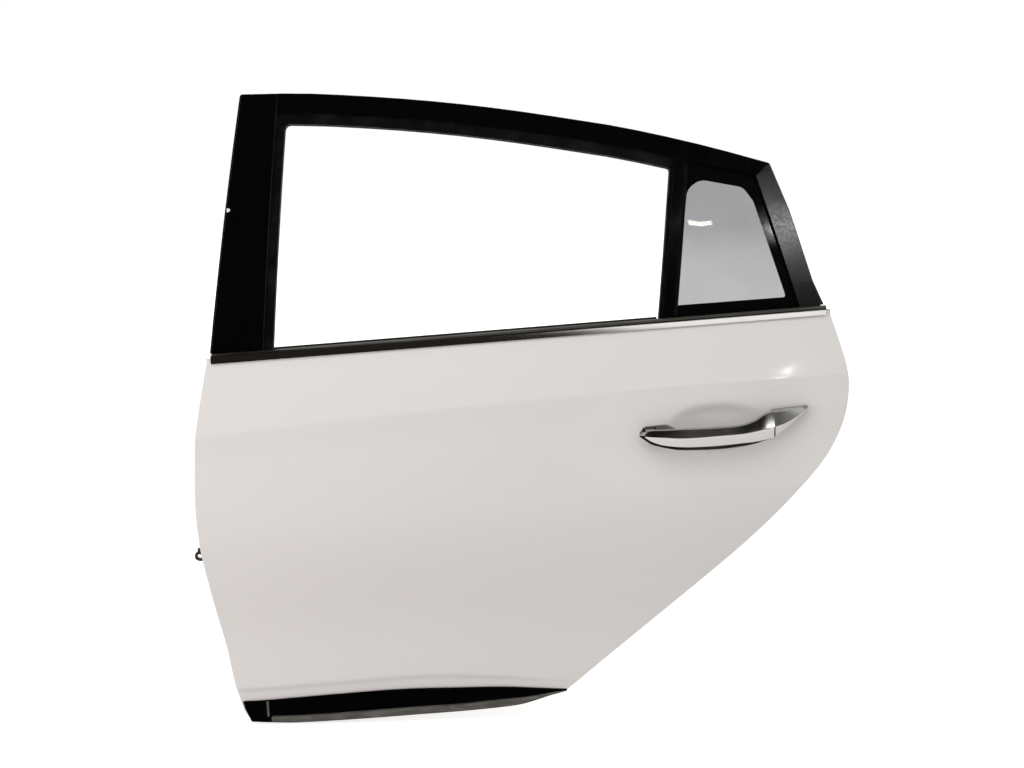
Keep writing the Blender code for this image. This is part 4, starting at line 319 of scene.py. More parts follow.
def edge_x(edge, level):
    """Where a row meets the front or rear edge."""
    x = spline(edge, 0.0)
    for _ in range(12):
        x = spline(edge, level_z(level, x))
    return x


def handle_frame():
    """Frame of the handle: U rearwards along it, V up and N out of the skin."""
    start = Vector((HANDLE_START[0], skin_y(*HANDLE_START), HANDLE_START[1]))
    far = (HANDLE_START[0] + HANDLE_LENGTH, HANDLE_START[1] + HANDLE_RISE * HANDLE_LENGTH)
    end = Vector((far[0], skin_y(*far), far[1]))
    along = (end - start).normalized()
    out = Vector((0.0, -1.0, 0.0))
    out = (out - along * out.dot(along)).normalized()
    turn = Matrix((along, out.cross(along), out)).transposed().to_4x4()
    return Matrix.Translation(start) @ turn


# Node graphs

class Graph:
    """A material's node tree, with short calls for what the materials repeat."""

    def __init__(self, name):
        self.material = bpy.data.materials.new(name)
        self.material.use_nodes = True
        self.tree = self.material.node_tree
        self.shader = self.tree.nodes["Principled BSDF"]
        self.place = self.add("ShaderNodeTexCoord").outputs["Object"]

    def add(self, kind, **values):
        made = self.tree.nodes.new(kind)
        for key, value in values.items():
            if hasattr(made, key):
                setattr(made, key, value)
            else:
                made.inputs[key.replace("_", " ")].default_value = value
        return made

    def link(self, source, target):
        self.tree.links.new(source, target)

    def set(self, **values):
        for key, value in values.items():
            socket = self.shader.inputs[key.replace("_", " ")]
            if isinstance(value, bpy.types.NodeSocket):
                self.link(value, socket)
            else:
                socket.default_value = value

    def noise(self, scale, detail=3.0, roughness=0.5, stretch=None, distortion=0.0):
        made = self.add("ShaderNodeTexNoise", Scale=scale, Detail=detail, Roughness=roughness,
                        Distortion=distortion)
        source = self.place
        if stretch:
            mapping = self.add("ShaderNodeMapping", Scale=stretch)
            self.link(source, mapping.inputs["Vector"])
            source = mapping.outputs["Vector"]
        self.link(source, made.inputs["Vector"])
        return made.outputs["Fac"]

    def cells(self, scale, feature="F1"):
        made = self.add("ShaderNodeTexVoronoi", Scale=scale, feature=feature)
        self.link(self.place, made.inputs["Vector"])
        return made.outputs["Distance"]

    def spread(self, source, low, high, start=0.3, end=0.7):
        """A value between two, as the source goes from start to end."""
        made = self.add("ShaderNodeMapRange")
        made.inputs["From Min"].default_value = start
        made.inputs["From Max"].default_value = end
        made.inputs["To Min"].default_value = low
        made.inputs["To Max"].default_value = high
        self.link(source, made.inputs["Value"])
        return made.outputs["Result"]

    def blend(self, share, first, second):
        """Colour between two colours or sockets."""
        made = self.add("ShaderNodeMix", data_type="RGBA")
        for socket, value in ((made.inputs[0], share), (made.inputs[6], first), (made.inputs[7], second)):
            if isinstance(value, bpy.types.NodeSocket):
                self.link(value, socket)
            else:
                socket.default_value = value if isinstance(value, float) else (*value, 1.0)
        return made.outputs[2]

    def mottle(self, scale, detail, first, second):
        """Colour that wanders between two in soft patches."""
        return self.blend(self.spread(self.noise(scale, detail), 0.0, 1.0), first, second)

    def maths(self, operation, first, second):
        made = self.add("ShaderNodeMath", operation=operation)
        for socket, value in zip(made.inputs, (first, second)):
            if isinstance(value, bpy.types.NodeSocket):
                self.link(value, socket)
            else:
                socket.default_value = value
        return made.outputs["Value"]

    def near(self, point, radius, ragged, scale):
        """1 inside a ragged spot round a point and 0 outside it."""
        made = self.add("ShaderNodeVectorMath", operation="DISTANCE")
        self.link(self.place, made.inputs[0])
        made.inputs[1].default_value = point
        wobble = self.maths("MULTIPLY", self.noise(scale, 2.0), ragged)
        return self.maths("LESS_THAN", self.maths("ADD", made.outputs["Value"], wobble), radius)

    def bump(self, height, distance, strength):
        made = self.add("ShaderNodeBump", Distance=distance, Strength=strength)
        self.link(height, made.inputs["Height"])
        return made.outputs["Normal"]


# Materials

def make_paint():
    """Pearl white under clear coat: a faint flake, slow tone changes and orange peel."""
    g = Graph("pearl_white_paint")
    tone = g.blend(g.noise(2.2, 1.0), (0.765, 0.735, 0.705), (0.800, 0.770, 0.740))
    flake = g.spread(g.cells(2600.0), 0.0, 1.0, 0.1, 0.8)
    g.set(Base_Color=g.blend(g.maths("MULTIPLY", flake, 0.12), tone, (0.90, 0.88, 0.87)),
          Roughness=g.spread(g.noise(9.0, 2.0), 0.29, 0.38, 0.0, 1.0), Specular_IOR_Level=0.35,
          Coat_Weight=0.7, Coat_Roughness=0.05, Coat_IOR=1.4,
          Normal=g.bump(g.noise(260.0, 2.0), 0.00002, 0.5))
    return g.material


def make_gloss_black():
    """Piano black trim with hairline wear and dust."""
    g = Graph("gloss_black_trim")
    dust = g.spread(g.noise(700.0, 2.0), 0.0, 1.0, 0.70, 0.78)
    white_spot = g.near(WHITE_SPOT_PLACE, WHITE_SPOT_RADIUS, WHITE_SPOT_RADIUS * 0.9, 120.0)
    black = g.blend(g.maths("MULTIPLY", dust, 0.10), (0.0014, 0.0014, 0.0015), (0.10, 0.10, 0.10))
    g.set(Base_Color=g.blend(white_spot, black, (0.78, 0.77, 0.75)),
          Roughness=g.spread(g.noise(40.0, 4.0, 0.6, (1.0, 1.0, 0.15)), 0.10, 0.22),
          Specular_IOR_Level=0.16, Coat_Weight=0.12, Coat_Roughness=0.08, Coat_IOR=1.3,
          Normal=g.bump(g.noise(330.0, 2.0), 0.00001, 0.4))
    return g.material


def make_satin_black():
    g = Graph("satin_black_paint")
    g.set(Base_Color=g.mottle(30.0, 3.0, (0.0026, 0.0026, 0.0028), (0.0052, 0.0052, 0.0056)),
          Roughness=g.spread(g.noise(18.0, 4.0), 0.28, 0.42), Specular_IOR_Level=0.2,
          Normal=g.bump(g.noise(420.0, 2.0), 0.00003, 0.6))
    return g.material


def make_rubber():
    g = Graph("black_rubber")
    chalk = g.spread(g.noise(26.0, 5.0, 0.6), 0.0, 1.0, 0.45, 0.8)
    g.set(Base_Color=g.blend(chalk, (0.0020, 0.0020, 0.0021), (0.0090, 0.0090, 0.0088)),
          Roughness=g.spread(g.noise(60.0, 3.0), 0.45, 0.70), Specular_IOR_Level=0.2,
          Normal=g.bump(g.noise(1400.0, 3.0), 0.00004, 0.6))
    return g.material


def make_plastic():
    """Moulded black plastic with a fine leather-like grain."""
    g = Graph("black_plastic")
    grain = g.cells(900.0, "SMOOTH_F1")
    g.set(Base_Color=g.mottle(14.0, 4.0, (0.0008, 0.0006, 0.0006), (0.0022, 0.0018, 0.0017)),
          Roughness=g.spread(g.noise(35.0, 3.0), 0.38, 0.52), Specular_IOR_Level=0.12,
          Normal=g.bump(grain, 0.00006, 0.5))
    return g.material


def make_painted_sheen_plastic():
    """The same plastic in a mottled grey: a painted sheen where light catches it."""
    g = Graph("painted_sheen_plastic")
    sheen_mottle = g.spread(g.noise(120.0, 5.0, 0.65, (0.25, 1.0, 1.0)), 0.0, 1.0, 0.35, 0.7)
    g.set(Base_Color=g.blend(sheen_mottle, (0.082, 0.078, 0.066), (0.170, 0.163, 0.146)),
          Roughness=g.spread(g.noise(50.0, 3.0), 0.40, 0.55), Specular_IOR_Level=0.4,
          Normal=g.bump(g.noise(900.0, 3.0), 0.00005, 0.5))
    return g.material


def make_frit():
    """Black ceramic print on the glass, with fine scratches and dust."""
    g = Graph("black_glass_print")
    dust = g.spread(g.noise(900.0, 2.0), 0.0, 1.0, 0.66, 0.76)
    dusty = g.maths("MULTIPLY", dust, 0.25)
    g.set(Base_Color=g.blend(dusty, (0.0022, 0.0022, 0.0024), (0.10, 0.10, 0.10)),
          Roughness=g.spread(g.noise(30.0, 4.0), 0.04, 0.12), Specular_IOR_Level=0.3,
          Normal=g.bump(g.noise(300.0, 2.0), 0.000006, 0.3))
    return g.material


def make_grained_trim():
    """Black trim film with a fine grain that spreads its highlight."""
    g = Graph("grained_black_trim")
    speck = g.spread(g.noise(1100.0, 2.0), 0.0, 1.0, 0.60, 0.80)
    speckled = g.maths("MULTIPLY", speck, 0.1)
    g.set(Base_Color=g.blend(speckled, (0.0030, 0.0031, 0.0033), (0.09, 0.09, 0.09)),
          Roughness=g.spread(g.noise(200.0, 2.0), 0.20, 0.25), Specular_IOR_Level=0.9,
          Normal=g.bump(g.noise(1500.0, 2.0), 0.00003, 0.6))
    return g.material


def make_painted_edge_highlight():
    """Grey on the rounded edges of a black trim: a painted highlight."""
    g = Graph("painted_edge_highlight")
    g.set(Base_Color=g.mottle(12.0, 3.0, (0.022, 0.022, 0.020), (0.095, 0.096, 0.090)),
          Roughness=g.spread(g.noise(40.0, 3.0), 0.30, 0.42), Specular_IOR_Level=0.4,
          Normal=g.bump(g.noise(600.0, 2.0), 0.00001, 0.4))
    return g.material


def make_dark_steel():
    """Steel dulled by old grease."""
    g = Graph("greased_steel")
    g.set(Base_Color=g.mottle(90.0, 5.0, (0.030, 0.027, 0.024), (0.16, 0.15, 0.14)),
          Metallic=0.7, Roughness=g.spread(g.noise(45.0, 4.0), 0.32, 0.6),
          Normal=g.bump(g.noise(700.0, 3.0), 0.00004, 0.6))
    return g.material


def make_chrome(name, colour, roughness):
    g = Graph(name)
    haze = g.noise(70.0, 4.0, 0.6, (0.05, 1.0, 1.0))
    g.set(Base_Color=g.mottle(5.0, 3.0, tuple(c * 0.93 for c in colour), colour),
          Metallic=1.0, Roughness=g.spread(haze, roughness, roughness * 1.9),
          Normal=g.bump(g.noise(500.0, 2.0), 0.000008, 0.4))
    return g.material


def make_zinc():
    """Zinc-plated steel with a mottled passivation and rolled grain."""
    g = Graph("zinc_steel")
    tone = g.blend(g.spread(g.cells(55.0), 0.0, 1.0, 0.1, 0.8), (0.46, 0.45, 0.42), (0.62, 0.62, 0.60))
    g.set(Base_Color=g.blend(g.spread(g.noise(8.0, 4.0), 0.0, 0.6), tone, (0.52, 0.49, 0.38)),
          Metallic=1.0, Roughness=g.spread(g.noise(90.0, 4.0, 0.6, (0.1, 1.0, 1.0)), 0.32, 0.52),
          Normal=g.bump(g.noise(650.0, 3.0), 0.00003, 0.5))
    return g.material


def make_glass(name, colour, haze, cloud):
    """Tinted glass, with a cloudy film of dust on it."""
    g = Graph(name)
    film = g.spread(g.noise(16.0, 5.0, 0.62, distortion=0.6), 0.0, 1.0, 0.35, 0.75)
    lighter = tuple(min(c * cloud, 1.0) for c in colour)
    g.set(Base_Color=g.blend(film, colour, lighter), Roughness=haze, Transmission_Weight=1.0, IOR=1.45)
    return g.material


# A small ragged white spot on the edge of the front pillar's trim
WHITE_SPOT_PLACE = on_glass(-0.0272, 0.7165, 0.008)
WHITE_SPOT_RADIUS = 0.0068

PAINT = make_paint()
GLOSS_BLACK = make_gloss_black()
SATIN_BLACK = make_satin_black()
RUBBER = make_rubber()
PLASTIC = make_plastic()
PAINTED_SHEEN_PLASTIC = make_painted_sheen_plastic()
FRIT = make_frit()
TRIM_GRAINED = make_grained_trim()
PAINTED_EDGE_HIGHLIGHT = make_painted_edge_highlight()
DARK_STEEL = make_dark_steel()
CHROME = make_chrome("bright_chrome", (0.86, 0.85, 0.84), 0.09)
HANDLE_CHROME = make_chrome("handle_chrome", (0.40, 0.40, 0.385), 0.14)
SATIN_CHROME = make_chrome("satin_chrome", (0.62, 0.62, 0.61), 0.34)
DULL_CHROME = make_chrome("dull_chrome", (0.135, 0.130, 0.112), 0.36)
ZINC = make_zinc()
PRIVACY_GLASS = make_glass("grey_glass", (0.345, 0.345, 0.35), 0.02, 1.07)
CLEAR_GLASS = make_glass("green_glass", (0.86, 0.92, 0.89), 0.0, 1.04)

LOOKS = {
    "paint": PAINT, "gloss_black": GLOSS_BLACK, "satin_black": SATIN_BLACK, "rubber": RUBBER,
    "plastic": PLASTIC, "chrome": CHROME, "privacy_glass": PRIVACY_GLASS, "clear_glass": CLEAR_GLASS,
    "zinc_steel": ZINC,
}
SLOT_OF = {row["node"]: row["material_slot"] for row in frame["record"]["subparts"]}
BODIES = frame["record"]["behaviour"]["bodies"]
BODY_OF = {name: body for body, members in BODIES.items() for name in members}


# Pieces

SHARP_ANGLE = 24.0
BEVEL_ANGLE = 28.0
WELD_REACH = 0.00002


def make_smoothing():
    """Modifier's group that shades smooth across all but the sharp edges."""
    group = bpy.data.node_groups.new("smooth_by_angle", "GeometryNodeTree")
    group.interface.new_socket("Geometry", in_out="INPUT", socket_type="NodeSocketGeometry")
    group.interface.new_socket("Geometry", in_out="OUTPUT", socket_type="NodeSocketGeometry")
    source = group.nodes.new("NodeGroupInput")
    result = group.nodes.new("NodeGroupOutput")
    angle = group.nodes.new("GeometryNodeInputMeshEdgeAngle")
    compare = group.nodes.new("FunctionNodeCompare")
    compare.data_type = "FLOAT"
    compare.operation = "GREATER_THAN"
    compare.inputs[1].default_value = math.radians(SHARP_ANGLE)
    faces = group.nodes.new("GeometryNodeSetShadeSmooth")
    faces.domain = "FACE"
    edges = group.nodes.new("GeometryNodeSetShadeSmooth")
    edges.domain = "EDGE"
    edges.inputs["Shade Smooth"].default_value = False
    group.links.new(angle.outputs["Unsigned Angle"], compare.inputs[0])
    group.links.new(source.outputs[0], faces.inputs["Geometry"])
    group.links.new(faces.outputs[0], edges.inputs["Geometry"])
    group.links.new(compare.outputs["Result"], edges.inputs["Selection"])
    group.links.new(edges.outputs[0], result.inputs[0])
    return group


def dress(name, width):
    """Give a node of the model its material, and round its sharp edges where a width is given."""
    node = nodes[name]
    node.data.materials.clear()
    node.data.materials.append(LOOKS[SLOT_OF[name]])
    weld = node.modifiers.new("weld", "WELD")
    weld.merge_threshold = WELD_REACH
    smooth = node.modifiers.new("smooth", "NODES")
    smooth.node_group = SMOOTHING
    if width:
        bevel = node.modifiers.new("edges", "BEVEL")
        bevel.width = width
        bevel.segments = 2
        bevel.limit_method = "ANGLE"
        bevel.angle_limit = math.radians(BEVEL_ANGLE)
        shade = node.modifiers.new("shade", "WEIGHTED_NORMAL")
        shade.keep_sharp = True


def add_piece(name, bm, node, look=None, angle=40.0):
    """A finished piece that stands for a node and moves with its body."""
    bmesh.ops.remove_doubles(bm, verts=bm.verts, dist=0.000005)
    bmesh.ops.recalc_face_normals(bm, faces=bm.faces)
    mesh = bpy.data.meshes.new(name)
    bm.to_mesh(mesh)
    bm.free()
    mesh.shade_smooth()
    mesh.set_sharp_from_angle(angle=math.radians(angle))
    made = bpy.data.objects.new(name, mesh)
    bpy.context.scene.collection.objects.link(made)
    mesh.materials.append(look or LOOKS[SLOT_OF[node]])
    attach(made, BODY_OF[node])
    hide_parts(node)
    return made


def grid_faces(bm, rows):
    for above, below in zip(rows, rows[1:]):
        for k in range(len(above) - 1):
            corners = [above[k], below[k], below[k + 1], above[k + 1]]
            if len(set(corners)) > 2:
                bm.faces.new(list(dict.fromkeys(corners)))


# Outlines and lofts

def fillet(corners, steps=4):
    """Closed outline through (x, y, radius) corners, each rounded with as many points."""
    made = []
    count = len(corners)
    for k, (x, y, radius) in enumerate(corners):
        here = Vector((x, y))
        back = Vector(corners[k - 1][:2]) - here
        ahead = Vector(corners[(k + 1) % count][:2]) - here
        half = max(back.angle(ahead) / 2.0, 0.05)
        reach = min(radius / math.tan(half), back.length * 0.45, ahead.length * 0.45)
        start, end = here + back.normalized() * reach, here + ahead.normalized() * reach
        for step in range(steps + 1):
            t = step / steps
            made.append(start * (1.0 - t) ** 2 + here * 2.0 * t * (1.0 - t) + end * t * t)
    return made


def loft(bm, rings, zones=None, ends=True):
    """Faces between rings of as many points; zones give the material of each strip."""
    verts = [[bm.verts.new(p) for p in ring] for ring in rings]
    for a, b in zip(verts, verts[1:]):
        for k in range(len(a)):
            n = (k + 1) % len(a)
            face = bm.faces.new((a[k], a[n], b[n], b[k]))
            if zones:
                face.material_index = zones[k]
    if ends:
        bm.faces.new(verts[0][::-1])
        bm.faces.new(verts[-1])


def box_faces(bm, low, high, place):
    middle = (Vector(low) + Vector(high)) / 2.0
    size = Vector(high) - Vector(low)
    centred = place @ Matrix.Translation(middle)
    bmesh.ops.create_cube(bm, size=1.0, matrix=centred @ Matrix.Diagonal((*size, 1.0)))


def rod_faces(bm, place, middle, radius, length, segments):
    """Rod along the place's N, round a point of it."""
    bmesh.ops.create_cone(bm, cap_ends=True, segments=segments, radius1=radius, radius2=radius,
                          depth=length, matrix=place @ Matrix.Translation(middle))


def read_rows(rows, t):
    """Smooth reading of every column of a table whose first value is the place."""
    return [spline([(row[0], row[k]) for row in rows], t) for k in range(1, len(rows[0]))]


def table(rows, t):
    """Straight reading of every column of a table whose first value is the place."""
    k = max((i for i in range(len(rows) - 1) if rows[i][0] <= t), default=0)
    share = min(max((t - rows[k][0]) / (rows[k + 1][0] - rows[k][0]), 0.0), 1.0)
    return [lerp(a, b, share) for a, b in zip(rows[k][1:], rows[k + 1][1:])]


# Outer panel

def skin_levels():
    levels = [k / SHOULDER_STEPS for k in range(SHOULDER_STEPS)]
    levels += [1.0 + k / SIDE_STEPS for k in range(SIDE_STEPS)]
    return levels + [2.0 + k / SILL_STEPS for k in range(SILL_STEPS + 1)]


def handle_holes():
    """Cutters of the holes in the skin for the handle's legs and the cap's stud."""
    bm = bmesh.new()
    place = handle_frame()
    half_u, half_v = LEG_HOLE
    for u in (HANDLE_PIVOT[0], HANDLE_LENGTH - LEG_SIZE[0] / 2.0 + TOE_LENGTH / 2.0):
        box_faces(bm, (u - half_u, -half_v, -CUT_DEPTH), (u + half_u, half_v, CUT_DEPTH), place)
    u, v, radius = CAP_STUD
    rod_faces(bm, place, (u, v, 0.0), radius * STUD_HOLE, 2.0 * CUT_DEPTH, 32)
    mesh = bpy.data.meshes.new("handle_holes")
    bm.to_mesh(mesh)
    bm.free()
    return bpy.data.objects.new("handle_holes", mesh)


def build_skin():
    """Outer panel as a fine net with a hem, a belt flange and the handle's holes, in sheet metal."""
    bm = bmesh.new()
    rows = []
    for level in skin_levels():
        start, end = edge_x(FRONT_EDGE, level) + SKIN_INSET, edge_x(REAR_EDGE, level) - SKIN_INSET
        xs = [lerp(start, end, k / SKIN_COLUMNS) for k in range(SKIN_COLUMNS + 1)]
        rows.append([bm.verts.new(skin_point(x, level_z(level, x))) for x in xs])
    flange = [bm.verts.new(v.co + Vector((0.0, BELT_SETBACK, BELT_FLANGE))) for v in rows[0]]
    grid_faces(bm, [flange, *rows])
    rim = [row[0] for row in rows] + rows[-1][1:-1] + [row[-1] for row in reversed(rows)]
    inward = []
    for k in range(len(rim)):
        run = rim[min(k + 1, len(rim) - 1)].co - rim[max(k - 1, 0)].co
        inward.append(Vector((-run.z, 0.0, run.x)).normalized())
    loops = [rim]
    for step in range(1, FOLD_STEPS + 1):
        turn = math.pi * step / FOLD_STEPS
        deep = HEM_DEPTH * (1.0 - math.cos(turn)) / 2.0
        loops.append([bm.verts.new(v.co + Vector((0.0, deep, 0.0))) for v in rim])
    loops.append([bm.verts.new(v.co + n * HEM_WIDTH + Vector((0.0, HEM_DEPTH, 0.0)))
                  for v, n in zip(rim, inward)])
    grid_faces(bm, loops)
    skin = add_piece("outer_skin", bm, "outer_panel", angle=50.0)
    sheet = skin.modifiers.new("sheet", "SOLIDIFY")
    sheet.thickness = SHEET
    sheet.offset = -1.0
    cutter = handle_holes()
    bpy.context.scene.collection.objects.link(cutter)
    cut = skin.modifiers.new("handle_holes", "BOOLEAN")
    cut.object = cutter
    cut.solver = "EXACT"
    graph = bpy.context.evaluated_depsgraph_get()
    mesh = bpy.data.meshes.new_from_object(skin.evaluated_get(graph))
    skin.modifiers.clear()
    skin.data = mesh
    bpy.data.objects.remove(cutter)
    return skin


# Belt moulding

def build_moulding():
    """Bright moulding with a flat face, a dull ledge and a bevel above the face; its bottom edge and a
    groove under the bevel are painted black as painted shade.
    """
    bm = bmesh.new()
    start, end = MOULDING_SPAN
    proud, wall, top = -MOULDING_PROUD, MOULDING_WALL, MOULDING_FACE
    inner = BELT_SETBACK + SHEET + SEAT_GAP * 1.5
    rings = []
    for k in range(MOULDING_STEPS + 1):
        x = lerp(start, end, k / MOULDING_STEPS)
        y, z = glass_y(x, belt_z(x), SKIN_STANDOFF), belt_z(x)
        grown = min(max((x - MOULDING_BEVEL_START) / MOULDING_BEVEL_SPAN, 0.0), 1.0)
        face = top - lerp(*MOULDING_BEVEL, grown)
        profile = [(proud + wall, 0.0008), (proud + 0.0006, 0.0006), (proud, 0.0011),
                   (proud - 0.00005, face * 0.3), (proud - 0.00006, face * 0.55),
                   (proud - 0.00003, face * 0.85), (proud + 0.0001, face - 0.0009),
                   (proud + 0.0012, face - 0.0006), (proud + 0.0014, face),
                   (proud + 0.0022, face + 0.0004), (proud + 0.0042, top - 0.0003),
                   (proud + 0.0050, top), (inner + wall, top), (inner + wall, 0.0005),
                   (inner, 0.0005), (inner, top - wall), (proud + wall, face - wall)]
        rings.append([(x, y + a, z + b) for a, b in profile])
    # Black on the bottom edge and the groove is painted shade.
    zones = [(k in PAINTED_SHADE_STRIPS) + 2 * (k in LEDGE_STRIPS) for k in range(len(rings[0]))]
    loft(bm, rings, zones)
    made = add_piece("belt_moulding_bright", bm, "belt_moulding", angle=35.0)
    made.data.materials.append(SATIN_BLACK)
    made.data.materials.append(DULL_CHROME)
    return made


# Sill garnish

def build_garnish():
    """Garnish with a solid front block, a hollow scoop and a lip along its foot, grey there as a painted
    sheen.
    """
    bm = bmesh.new()
    first, last = GARNISH_SHAPE[0][0], GARNISH_SHAPE[-1][0]
    rings = []
    for k in range(GARNISH_STEPS + 1):
        x = lerp(first, last, k / GARNISH_STEPS)
        scoop, lip, proud = table(GARNISH_SHAPE, x)
        bottom = spline(BOTTOM_EDGE, max(x, 0.03)) - SEAT_GAP
        top_z = spline(GARNISH_TOP, x)
        lip_z = lerp(bottom, top_z, lip)
        skew = GARNISH_SKEW * max(0.0, 1.0 - (x - first) / SKEW_SPAN)
        rim = min(0.0035, (top_z - bottom) * 0.12)
        out = GARNISH_LIP * proud / GARNISH_PROUD

        def place(proud_by, z):
            at = x + skew * (top_z - z)
            return (at, skin_y(at, max(z, bottom + 0.001)) - SEAT_GAP - proud_by, z)

        rings.append([place(0.0, top_z - rim * 0.4), place(proud * 0.6, top_z),
                      place(proud * 0.95, top_z - rim * 0.4), place(proud, top_z - rim),
                      place(proud * scoop * 0.9, lerp(lip_z, top_z, 0.70)),
                      place(proud * scoop, lerp(lip_z, top_z, 0.35)),
                      place(proud * scoop * 0.9 + 0.001, lip_z), place(out * 0.88, lip_z - rim * 0.05),
                      place(out, lip_z - rim * 0.6), place(out, bottom + rim * 0.9),
                      place(out * 0.8, bottom + rim * 0.2), place(proud * 0.8, bottom),
                      place(0.0, bottom)])
    loft(bm, rings)
    made = add_piece("sill_garnish_moulded", bm, "sill_garnish", angle=30.0)
    made.data.materials.append(PAINTED_SHEEN_PLASTIC)
    # The lip and a stripe across the face take the grey of a painted sheen.
    count = len(rings[0])
    for index, face in enumerate(made.data.polygons):
        ring, strip = divmod(index, count)
        on_lip = ring < GARNISH_STEPS and strip in LIP_STRIPS and face.center.x > LIP_SHEEN_FROM
        on_stripe = ring == STRIPE_RING and strip in STRIPE_STRIPS
        if on_lip or on_stripe:
            face.material_index = 1
    return made


# Quarter glass

def quarter_s(h):
    (s0, h0), (s1, h1) = QUARTER_TOP[-1], QUARTER_REAR
    return lerp(s0, s1, (h - h0) / (h1 - h0))


def to_glass(x, z):
    s = x * math.cos(GLASS_LEAN) - z * math.sin(GLASS_LEAN)
    up = x * math.sin(GLASS_LEAN) + z * math.cos(GLASS_LEAN) - GLASS_AXIS_HEIGHT
    return s, GLASS_AXIS_HEIGHT + GLASS_RADIUS * math.asin(up / GLASS_RADIUS)


def belt_h(s):
    front, rear = to_glass(0.0, belt_z(0.0)), to_glass(1.0, belt_z(1.0))
    return lerp(front[1], rear[1], (s - front[0]) / (rear[0] - front[0]))


def quarter_edge():
    """Edge of the quarter glass inside its seal."""
    grow = QUARTER_SEAL_EDGE - SEAT_GAP
    front = DIVIDER_REAR + 2.0 * SEAT_GAP + 0.003
    foot = SEAT_GAP - grow * 0.6
    low_s = quarter_s(belt_h(QUARTER_REAR[0]) - QUARTER_SILL) + grow
    top = [(s, h + grow * 0.8) for s, h in QUARTER_TOP[:2]]
    return [(front, belt_h(front) - QUARTER_SILL + foot, 0.002),
            (low_s, belt_h(low_s - grow) - QUARTER_SILL + foot, 0.002),
            (QUARTER_REAR[0] + grow, QUARTER_REAR[1], 0.0),
            (QUARTER_TOP[2][0] + grow, QUARTER_TOP[2][1] + grow * 0.4, 0.008),
            (top[1][0], top[1][1], 0.002), (front, top[0][1], 0.002)]


def ray_reach(loop, middle, turn):
    """Distance from a point to a closed outline in one direction."""
    ray = Vector((math.cos(turn), math.sin(turn)))
    best = 0.0
    for k in range(len(loop)):
        a, b = loop[k - 1] - middle, loop[k] - middle
        run = b - a
        cross = ray.x * run.y - ray.y * run.x
        if abs(cross) < 1e-12:
            continue
        reach = (a.x * run.y - a.y * run.x) / cross
        along = (a.x * ray.y - a.y * ray.x) / cross
        if reach > best and -1e-9 <= along <= 1.0 + 1e-9:
            best = reach
    return best


def build_quarter_glass():
    """Grey glass with a black print round its clear part."""
    rim, sight = fillet(quarter_edge(), 6), fillet(QUARTER_SIGHT, 8)
    middle = Vector(QUARTER_MIDDLE)
    turns = sorted({math.atan2(p.y - middle.y, p.x - middle.x) for p in rim + sight}
                   | {2.0 * math.pi * k / QUARTER_RAYS - math.pi for k in range(QUARTER_RAYS)})
    turns = [t for k, t in enumerate(turns) if k == 0 or t - turns[k - 1] > 0.0005]
    bm = bmesh.new()
    outlines = []
    for depth in (0.0, -GLASS_THICKNESS):
        rings = []
        for loop, share in ((sight, 0.34), (sight, 0.67), (sight, 1.0), (rim, 0.5), (rim, 1.0)):
            ring = []
            for turn in turns:
                reach = ray_reach(loop, middle, turn) * share
                if loop is rim and share < 1.0:
                    reach = lerp(ray_reach(sight, middle, turn), ray_reach(rim, middle, turn), share)
                at = middle + Vector((math.cos(turn), math.sin(turn))) * reach
                ring.append(bm.verts.new(on_glass(at.x, at.y, depth)))
            rings.append(ring)
        bm.faces.new(rings[0])
        for level, (a, b) in enumerate(zip(rings, rings[1:])):
            for k in range(len(a)):
                n = (k + 1) % len(a)
                face = bm.faces.new((a[k], a[n], b[n], b[k]))
                face.material_index = 1 if level >= 2 else 0
        outlines.append(rings[-1])
    front, back = outlines
    for k in range(len(front)):
        n = (k + 1) % len(front)
        face = bm.faces.new((front[k], front[n], back[n], back[k]))
        face.material_index = 1
    made = add_piece("quarter_pane", bm, "quarter_glass")
    made.data.materials.append(FRIT)
    return made


# Handle

def skin_n(place, u, v):
    """Height of the skin, with its recess, over the handle's plane."""
    n = 0.0
    for _ in range(6):
        point = place @ Vector((u, v, n))
        n += point.y - skin_y(point.x, point.z) - recess(point.x, point.z)
    return n


def handle_ring(low, face_top, back_top, outer, backs):
    """Rounded cross-section of the grip or cap as (V, N) points."""
    height = max(face_top - low, 0.0006)
    round_low = min(0.0020, height * 0.45)
    slant = lerp(outer, (backs[0] + backs[1]) / 2.0, 0.55)
    return fillet([(low + 0.001, backs[0], 0.0020), (low, outer - round_low, 0.0025),
                   (low + round_low, outer, 0.0024), (face_top, outer, 0.0012),
                   (back_top, slant, 0.0035), (back_top - 0.001, backs[1], 0.0030)])


